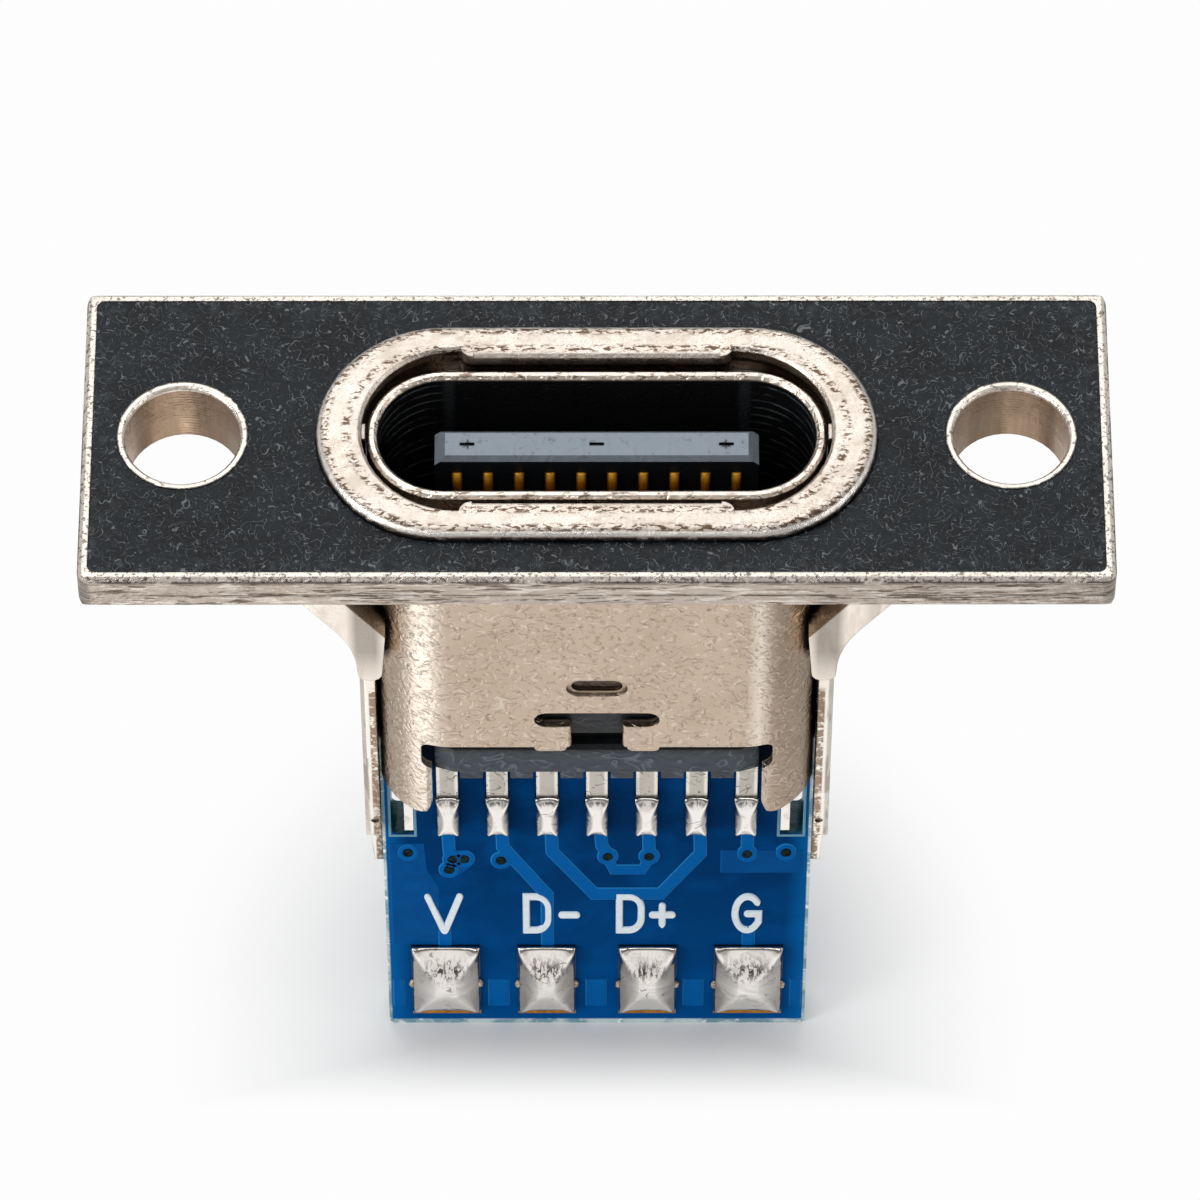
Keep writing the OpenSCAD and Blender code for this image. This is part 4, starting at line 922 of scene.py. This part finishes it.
def pillow(x_mid, z_low, z_high, width, base, side, height,
           pinch, wall, crease, top_bias, band_at, spread, grid):
    """Solder wetting a rectangle of the board, on the front for a side of -1 and on the back for 1.

    Its rise is S(u) S(v), where u and v run from -1 to 1 across and up it. S climbs from 0 at the edge to 1
    over a band that is wide in the middle of each side and narrow at the corners, so the ridges run out to
    the corners; crease is how straight the climb is. The rise is more at the top by top_bias. pinch draws
    the two long sides in at their middle. wall is how high its outline stands, save at the lower end. The
    mark is 1 in the band across it that the finish darkens, frosty on the pads and a painted shadow on the
    leads' joints, at the height band_at and spread that far. grid is how many points it has across and up."""
    across, up = grid
    u = np.linspace(-1, 1, across)[None, :]
    v = np.linspace(-1, 1, up)[:, None]
    u = np.sign(u) * np.abs(u) ** 0.8
    v = np.sign(v) * np.abs(v) ** 0.8

    def climb(edge, along):
        band = 0.72 * (1 - along ** 2) + 0.04
        part = np.clip((1 - np.abs(edge)) / band, 0, 1)
        return crease * part + (1 - crease) * np.sin(part * math.pi / 2) ** 0.8

    dome = 0.88 + 0.12 * (1 - u ** 2) * (1 - v ** 2)
    rise = climb(u, v) * climb(v, u) * dome * (1 + top_bias * v)
    rim = SOLDER_RIM + (wall - SOLDER_RIM) * np.clip((v + 1) / 0.2, 0, 1)
    x = x_mid + u * width / 2 * (1 - pinch * (1 - v ** 2))
    y = base + side * (rim + (height - rim) * rise)
    z = np.broadcast_to((z_low + z_high) / 2 + v * (z_high - z_low) / 2, x.shape)
    top = np.stack([x, y, z], axis=-1).reshape(-1, 3)
    under = np.stack([x, np.full_like(x, base), z], axis=-1).reshape(-1, 3)

    # the top, the flat side under it, and the wall that joins their outlines
    count = across * up
    faces = grid_faces(up, across)
    ids = np.arange(count).reshape(up, across)
    loop = np.concatenate([ids[0, :], ids[1:, -1], ids[-1, -2::-1], ids[-2:0:-1, 0]])
    following = np.roll(loop, -1)
    skirt = np.stack([loop, loop + count, following + count, following], 1)
    faces = np.vstack([faces, faces[:, ::-1] + count, skirt])
    mark = np.exp(-((v - band_at) / spread) ** 2) * np.clip(1.15 - 1.6 * u ** 2, 0, 1)
    return np.vstack([top, under]), faces[:, ::-side], np.tile(mark.reshape(-1), 2)


# ---------------------------------------------------------------- artwork
# Places are (x, z) in mm. Each letter or sign is a list of middle lines and whether each is closed.

TRACES = (
    [(-3.02, -13.2), (-3.0, -14.2)],
    [(-1.93, -13.2), (-1.91, -14.0), (-1.02, -15.84), (-1.02, -18.1)],
    [(-0.93, -13.2), (-0.91, -14.17), (-0.06, -15.79), (1.3, -15.79), (2.1, -14.24), (2.08, -13.2)],
    [(0.06, -13.2), (0.1, -13.95), (0.22, -14.3)],
    [(1.04, -13.2), (1.06, -14.3)],
    [(3.05, -13.2), (3.05, -14.2)],
    [(-3.14, -17.3), (-3.14, -18.1)],
    [(3.12, -17.3), (3.12, -18.1)],
)
LOOP = [(0.22, -14.45), (0.34, -14.86), (0.92, -14.86), (1.06, -14.45)]     # joins two of the vias
# left edge, right edge and z of the wide copper, from the top down
AREAS = (
    [(2.51, 4.21, -14.12), (2.51, 4.21, -14.97)],
    [(-4.22, -3.52, -13.86), (-4.22, -3.47, -14.86), (-4.22, -3.24, -15.57), (-4.22, -3.28, -17.75)],
    [(-3.12, -2.62, -14.1), (-3.12, -2.56, -14.75), (-3.06, -2.84, -15.1)],
)
# left and right edges of the copper that shows between the wire pads, and its top and foot
WINDOWS = ((-4.25, -4.0), (-2.27, -1.82), (-0.24, 0.2), (1.78, 2.22), (4.0, 4.25))
WINDOW_TOP, WINDOW_FOOT = -19.15, -20.19
VIAS = ((-3.84, -14.2), (3.84, -14.2), (-2.93, -14.45), (-2.7, -14.45), (-3.01, -14.85),
        (-1.95, -14.5), (0.22, -14.35), (1.06, -14.35), (3.05, -14.25))
LETTER_TOP, LETTER_FOOT = -15.9, -17.2
LETTER_MID = (LETTER_TOP + LETTER_FOOT) / 2
SIGN_Z = LETTER_MID - 0.06


def arc(centre, radius_x, radius_z, start, end, count):
    """Points along an ellipse's arc, from start to end in degrees, counted from +x towards +z."""
    angle = np.radians(np.linspace(start, end, count))
    return np.stack([centre[0] + radius_x * np.cos(angle), centre[1] + radius_z * np.sin(angle)], 1)


def letter_v(x):
    """A V as two lines that all but meet."""
    return [([(x + hand * 0.33, LETTER_TOP), (x + hand * 0.02, LETTER_FOOT)], False) for hand in (-1, 1)]


def letter_d(x):
    """A D as one closed line: a straight back and a bowl of two quarter ellipses."""
    width = 0.45
    corner = (LETTER_TOP - LETTER_FOOT) * 0.36
    bowl = width * 0.55
    upper = arc((x + width - bowl, LETTER_TOP - corner), bowl, corner, 90, 0, 8)
    lower = arc((x + width - bowl, LETTER_FOOT + corner), bowl, corner, 0, -90, 8)
    return [(np.vstack([[(x, LETTER_FOOT), (x, LETTER_TOP)], upper, lower]), True)]


def letter_g(x):
    """A G as one open line: most of an ellipse, then the bar turned in."""
    bowl = arc((x, LETTER_MID), 0.255, (LETTER_TOP - LETTER_FOOT) / 2, 42, 318, 26)
    hook = [(x + 0.23, LETTER_FOOT + 0.32), (x + 0.23, LETTER_MID - 0.02), (x, LETTER_MID - 0.02)]
    return [(np.vstack([bowl, hook]), False)]


def dash(x, half):
    """A level line, that long to each side of x."""
    return [([(x - half, SIGN_Z), (x + half, SIGN_Z)], False)]


def plus(x, half, stretch):
    """A dash and an upright, as long as each other once z is divided by stretch."""
    return dash(x, half) + [([(x, SIGN_Z - half * stretch), (x, SIGN_Z + half * stretch)], False)]


# ---------------------------------------------------------------- operators


def settings():
    """The sizes, colours and studio settings of the scene."""
    scene = bpy.context.scene
    return scene.socket_sizes, scene.socket_colours, scene.socket_studio


def dress(node, material):
    """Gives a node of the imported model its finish. Its mesh and place stay as they are."""
    for slot in frame["nodes"][node].material_slots:
        slot.material = material


def turn_to(made, aim):
    """Turns a lamp or a camera so that it points at a place."""
    made.rotation_euler = (aim - made.location).to_track_quat("-Z", "Y").to_euler()


class SOCKET_OT_metalwork(bpy.types.Operator):
    """Finish the cast flange, the drawn shell and the hidden centre plate"""

    bl_idname = "socket.metalwork"
    bl_label = "Metalwork"

    def execute(self, context):
        _, colours, _ = settings()
        dress("flange", nickel_casting(colours))
        dress("shell", nickel_sheet(colours))
        dress("centre_plate", stamped_steel(colours))
        return {"FINISHED"}


class SOCKET_OT_plastics(bpy.types.Operator):
    """Finish the face film and the moulded insulator"""

    bl_idname = "socket.plastics"
    bl_label = "Plastics"

    def execute(self, context):
        _, colours, _ = settings()
        dress("face_film", black_film(colours))
        dress("insulator", liquid_crystal_polymer(colours))
        return {"FINISHED"}


class SOCKET_OT_contacts(bpy.types.Operator):
    """Finish the two rows of contacts and round the front row's fingers"""

    bl_idname = "socket.contacts"
    bl_label = "Contacts"

    def execute(self, context):
        plating = plated_contact()
        for row in ("front", "back"):
            for number in range(1, LEAD_COUNT + 1):
                dress(f"{row}_contact_{number}", plating)
        middle = (FINGER_COUNT - 1) / 2
        crowns = [crown((number - middle) * FINGER_PITCH, TONGUE_Y) for number in range(FINGER_COUNT)]
        piece("finger_crowns", merge(crowns), plating)
        return {"FINISHED"}


class SOCKET_OT_board(bpy.types.Operator):
    """Finish the board and lay its copper: traces, via rings and mask windows"""

    bl_idname = "socket.board"
    bl_label = "Board"

    def execute(self, context):
        sizes, colours, _ = settings()
        dress("board", solder_mask_board(colours))
        dress("wire_pads", gold_plate(colours))
        copper = masked_copper("solder_mask_on_traces", colours.mask_copper, colours.mask_edge)
        wide = masked_copper("solder_mask_on_ground_copper", "#004a8a", colours.mask_copper)
        width, height = sizes.trace / MM, sizes.copper / MM
        traces = [stroke(path, width, sizes.stretch, height) for path in TRACES]
        traces.append(stroke(LOOP, width * 0.8, sizes.stretch, height * 0.9))
        areas = [pour(rows, height * 0.6) for rows in AREAS]
        windows = [pour([(*edges, WINDOW_TOP), (*edges, WINDOW_FOOT)], height) for edges in WINDOWS]
        rise = height * 1.3
        lands = [ring(via, (0.1, 0.12, 0.19, 0.22), (0, rise, rise, 0), (1.4, 1.5, 1.5, 1.5)) for via in VIAS]
        dip = (rise * 0.9, rise * 1.1, rise * 1.2, 0)
        pools = [ring(via, (0.002, 0.06, 0.09, 0.12), dip, (1.5,) * 4) for via in VIAS]
        piece("copper_traces", merge(traces), copper, smooth=False)
        piece("copper_areas", merge(areas), wide, smooth=False)
        piece("mask_windows", merge(windows), copper, smooth=False)
        piece("via_lands", merge(lands), copper, smooth=False)
        piece("via_pools", merge(pools), via_pool(), smooth=False)
        return {"FINISHED"}


class SOCKET_OT_lettering(bpy.types.Operator):
    """Print the generic pin marks above the wire pads"""

    bl_idname = "socket.lettering"
    bl_label = "Lettering"

    def execute(self, context):
        sizes, colours, _ = settings()
        ink = printed_ink(colours)
        marks = {
            "mark_supply": letter_v(-3.14),
            "mark_data_minus": letter_d(-1.45) + dash(-0.57, 0.15),
            "mark_data_plus": letter_d(0.46) + plus(1.34, 0.2, sizes.stretch),
            "mark_ground": letter_g(3.09),
        }
        width, height = sizes.stroke / MM, (sizes.copper + sizes.ink) / MM
        layer = 0.001        # each line of a mark is this much higher than the one before, where they cross
        for name, lines in marks.items():
            strokes = [stroke(path, width, sizes.stretch, height + layer * number, closed)
                       for number, (path, closed) in enumerate(lines)]
            piece(name, merge(strokes), ink, smooth=False)
        return {"FINISHED"}


class SOCKET_OT_solder(bpy.types.Operator):
    """Flow the solder on the wire pads, the leads and the anchor slots"""

    bl_idname = "socket.solder"
    bl_label = "Solder"

    def execute(self, context):
        sizes, colours, _ = settings()
        metal = bright_solder(colours)
        dress("shell_joints", metal)
        self.anchor_lands(sizes)
        self.pad_solder(sizes, metal)
        self.lead_solder(sizes, metal)
        return {"FINISHED"}

    def anchor_lands(self, sizes):
        """Pale masked copper round the two anchor slots."""
        (inner, outer), (foot, top) = SLOT_X, SLOT_Z
        lands = []
        for hand in (1, -1):
            path = [(hand * x, z) for x, z in ((inner, top), (outer, top), (outer, foot), (inner, foot))]
            lands.append(stroke(path, 0.055, 1.0, sizes.copper / MM, closed=True))
        copper_ring = masked_copper("solder_mask_on_anchor_copper", "#6fa3b8", "#b8ccd2")
        piece("anchor_lands", merge(lands), copper_ring, smooth=False)

    def pad_solder(self, sizes, metal):
        """A pillow of solder on each wire pad, with a bead of flux on each of its long sides."""
        drops = []
        for number in range(1, PAD_COUNT + 1):
            node = f"wire_solder_{number}"
            low, high = (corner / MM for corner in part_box(node))
            middle, width = (low.x + high.x) / 2, high.x - low.x
            flow = pillow(middle, low.z, high.z, width, high.y, -1, sizes.pillow / MM, **PAD_FLOW)
            made = piece(f"pad_solder_{number}", flow, metal)
            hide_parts(node)
            for hand in (-1, 1):
                place = (middle + hand * width / 2 * 0.975, FACE_Y - 0.06, FLUX_Z - 0.02 * number)
                drops.append(bead(place, (0.075, 0.05, 0.13)))
        piece("flux_beads", merge(drops), burnt_flux())

    def lead_solder(self, sizes, metal):
        """A small joint on each lead, on both faces of the board."""
        for face, side in (("front", -1), ("back", 1)):
            node = f"{face}_joints"
            low, high = (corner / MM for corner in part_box(node))
            width = high.x - low.x - (LEAD_COUNT - 1) * LEAD_PITCH
            base = high.y if side < 0 else low.y
            joints = []
            for number in range(LEAD_COUNT):
                x_mid = (number - (LEAD_COUNT - 1) / 2) * LEAD_PITCH
                joints.append(pillow(x_mid, low.z, high.z, width, base, side, sizes.joint / MM, **LEAD_FLOW))
            made = piece(f"lead_solder_{face}", merge(joints), metal)
            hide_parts(node)


class SOCKET_OT_stage(bpy.types.Operator):
    """Set up the floor, the light and the camera"""

    bl_idname = "socket.stage"
    bl_label = "Studio"

    def execute(self, context):
        _, colours, studio = settings()
        scene = context.scene
        scene.view_settings.view_transform = "Standard"
        self.floor(scene, colours)
        self.world(scene, studio)
        self.lamps(scene, studio)
        self.camera(scene, studio)
        return {"FINISHED"}

    def floor(self, scene, colours):
        """A flat square at the lowest point of the board."""
        half = 0.6
        z = CAD_BOX[0][2]
        corners = [(-half, -half, z), (half, -half, z), (half, half, z), (-half, half, z)]
        mesh = bpy.data.meshes.new("studio_floor")
        mesh.from_pydata(corners, [], [(0, 1, 2, 3)])
        mesh.materials.append(studio_paper(colours))
        floor = bpy.data.objects.new("studio_floor", mesh)
        scene.collection.objects.link(floor)

    def world(self, scene, studio):
        """Studio walls: bright behind the socket and low down all round, dark above the camera, so that the
        plating mirrors both. The strength is the higher of a ramp of height and a ramp from front to back."""
        world = bpy.data.worlds.new("studio_air")
        scene.world = world
        world.use_nodes = True
        tree = world.node_tree
        tree.nodes.clear()
        ray = add(tree, "ShaderNodeTexCoord").outputs["Generated"]
        axes = add(tree, "ShaderNodeSeparateXYZ", {0: ray}).outputs
        back = add(tree, "ShaderNodeMapRange", {0: axes[1], 1: -0.2, 2: 0.35, 3: 0.5, 4: 1.2}, **SMOOTH)
        low = add(tree, "ShaderNodeMapRange", {0: axes[2], 1: 0.1, 2: 0.35, 3: 1.6, 4: 0}, **SMOOTH)
        strength = both(tree, either(tree, back, low), studio.sky)
        background = add(tree, "ShaderNodeBackground", {"Color": WHITE, "Strength": strength})
        add(tree, "ShaderNodeOutputWorld", {"Surface": background})

    def lamps(self, scene, studio):
        """Softboxes, each a rectangle aimed at the socket: name, place in mm, size in mm, and the brightness
        of its face, 1 for white. The power of a matte lamp is its brightness times pi times its area."""
        boxes = [
            ("overhead_softbox", (-40, 190, 270), (330, 240), 1.25),
            ("camera_softbox", (-30, -150, 250), (150, 60), 3.0),
            ("left_softbox", (-230, -130, 150), (110, 200), 5.5),
            ("right_softbox", (250, -90, 130), (90, 180), 2.2),
            ("left_card", (-9.5, -7.5, -16.5), (6, 7), 1.2),
        ]
        for name, place, (width, height), brightness in boxes:
            lamp = bpy.data.lights.new(name, "AREA")
            lamp.shape = "RECTANGLE"
            lamp.size = width * MM
            lamp.size_y = height * MM
            lamp.energy = brightness * math.pi * lamp.size * lamp.size_y * studio.key
            made = bpy.data.objects.new(name, lamp)
            made.visible_camera = False
            scene.collection.objects.link(made)
            made.location = Vector(place) * MM
            turn_to(made, Vector((0, 0, -8)) * MM)

    def camera(self, scene, studio):
        """Camera at the given height and distance from the middle of the mouth, looking at the aim point."""
        lens = bpy.data.cameras.new("view_camera")
        lens.sensor_width = 36
        lens.lens = studio.lens
        lens.clip_start = 1 * MM
        lens.clip_end = 10
        camera = bpy.data.objects.new("view_camera", lens)
        scene.collection.objects.link(camera)
        away, up = math.cos(studio.height), math.sin(studio.height)
        camera.location = (0, -studio.distance * away, studio.distance * up)
        turn_to(camera, Vector(studio.aim))
        scene.camera = camera


class SOCKET_PT_panel(bpy.types.Panel):
    """Lists the settings and the steps"""

    bl_idname = "SOCKET_PT_panel"
    bl_label = "Panel socket"
    bl_space_type = "VIEW_3D"
    bl_region_type = "UI"
    bl_category = "Socket"

    def draw(self, context):
        layout = self.layout
        scene = context.scene
        for group in (scene.socket_sizes, scene.socket_colours, scene.socket_studio):
            box = layout.box()
            for name in group.bl_rna.properties.keys():
                if name not in ("rna_type", "name"):
                    box.prop(group, name)
        for operator in OPERATORS:
            layout.operator(operator.bl_idname)


GROUPS = {"socket_sizes": SocketSizes, "socket_colours": SocketColours, "socket_studio": SocketStudio}
OPERATORS = (SOCKET_OT_metalwork, SOCKET_OT_plastics, SOCKET_OT_contacts, SOCKET_OT_board,
             SOCKET_OT_lettering, SOCKET_OT_solder, SOCKET_OT_stage)


def register():
    for made in (*GROUPS.values(), *OPERATORS, SOCKET_PT_panel):
        bpy.utils.register_class(made)
    for name, group in GROUPS.items():
        setattr(bpy.types.Scene, name, PointerProperty(type=group))


def unregister():
    for name in GROUPS:
        delattr(bpy.types.Scene, name)
    for made in reversed((*GROUPS.values(), *OPERATORS, SOCKET_PT_panel)):
        bpy.utils.unregister_class(made)


def main():
    register()
    bpy.ops.socket.stage()
    bpy.ops.socket.metalwork()
    bpy.ops.socket.plastics()
    bpy.ops.socket.contacts()
    bpy.ops.socket.board()
    bpy.ops.socket.lettering()
    bpy.ops.socket.solder()


if __name__ == "__main__":
    main()
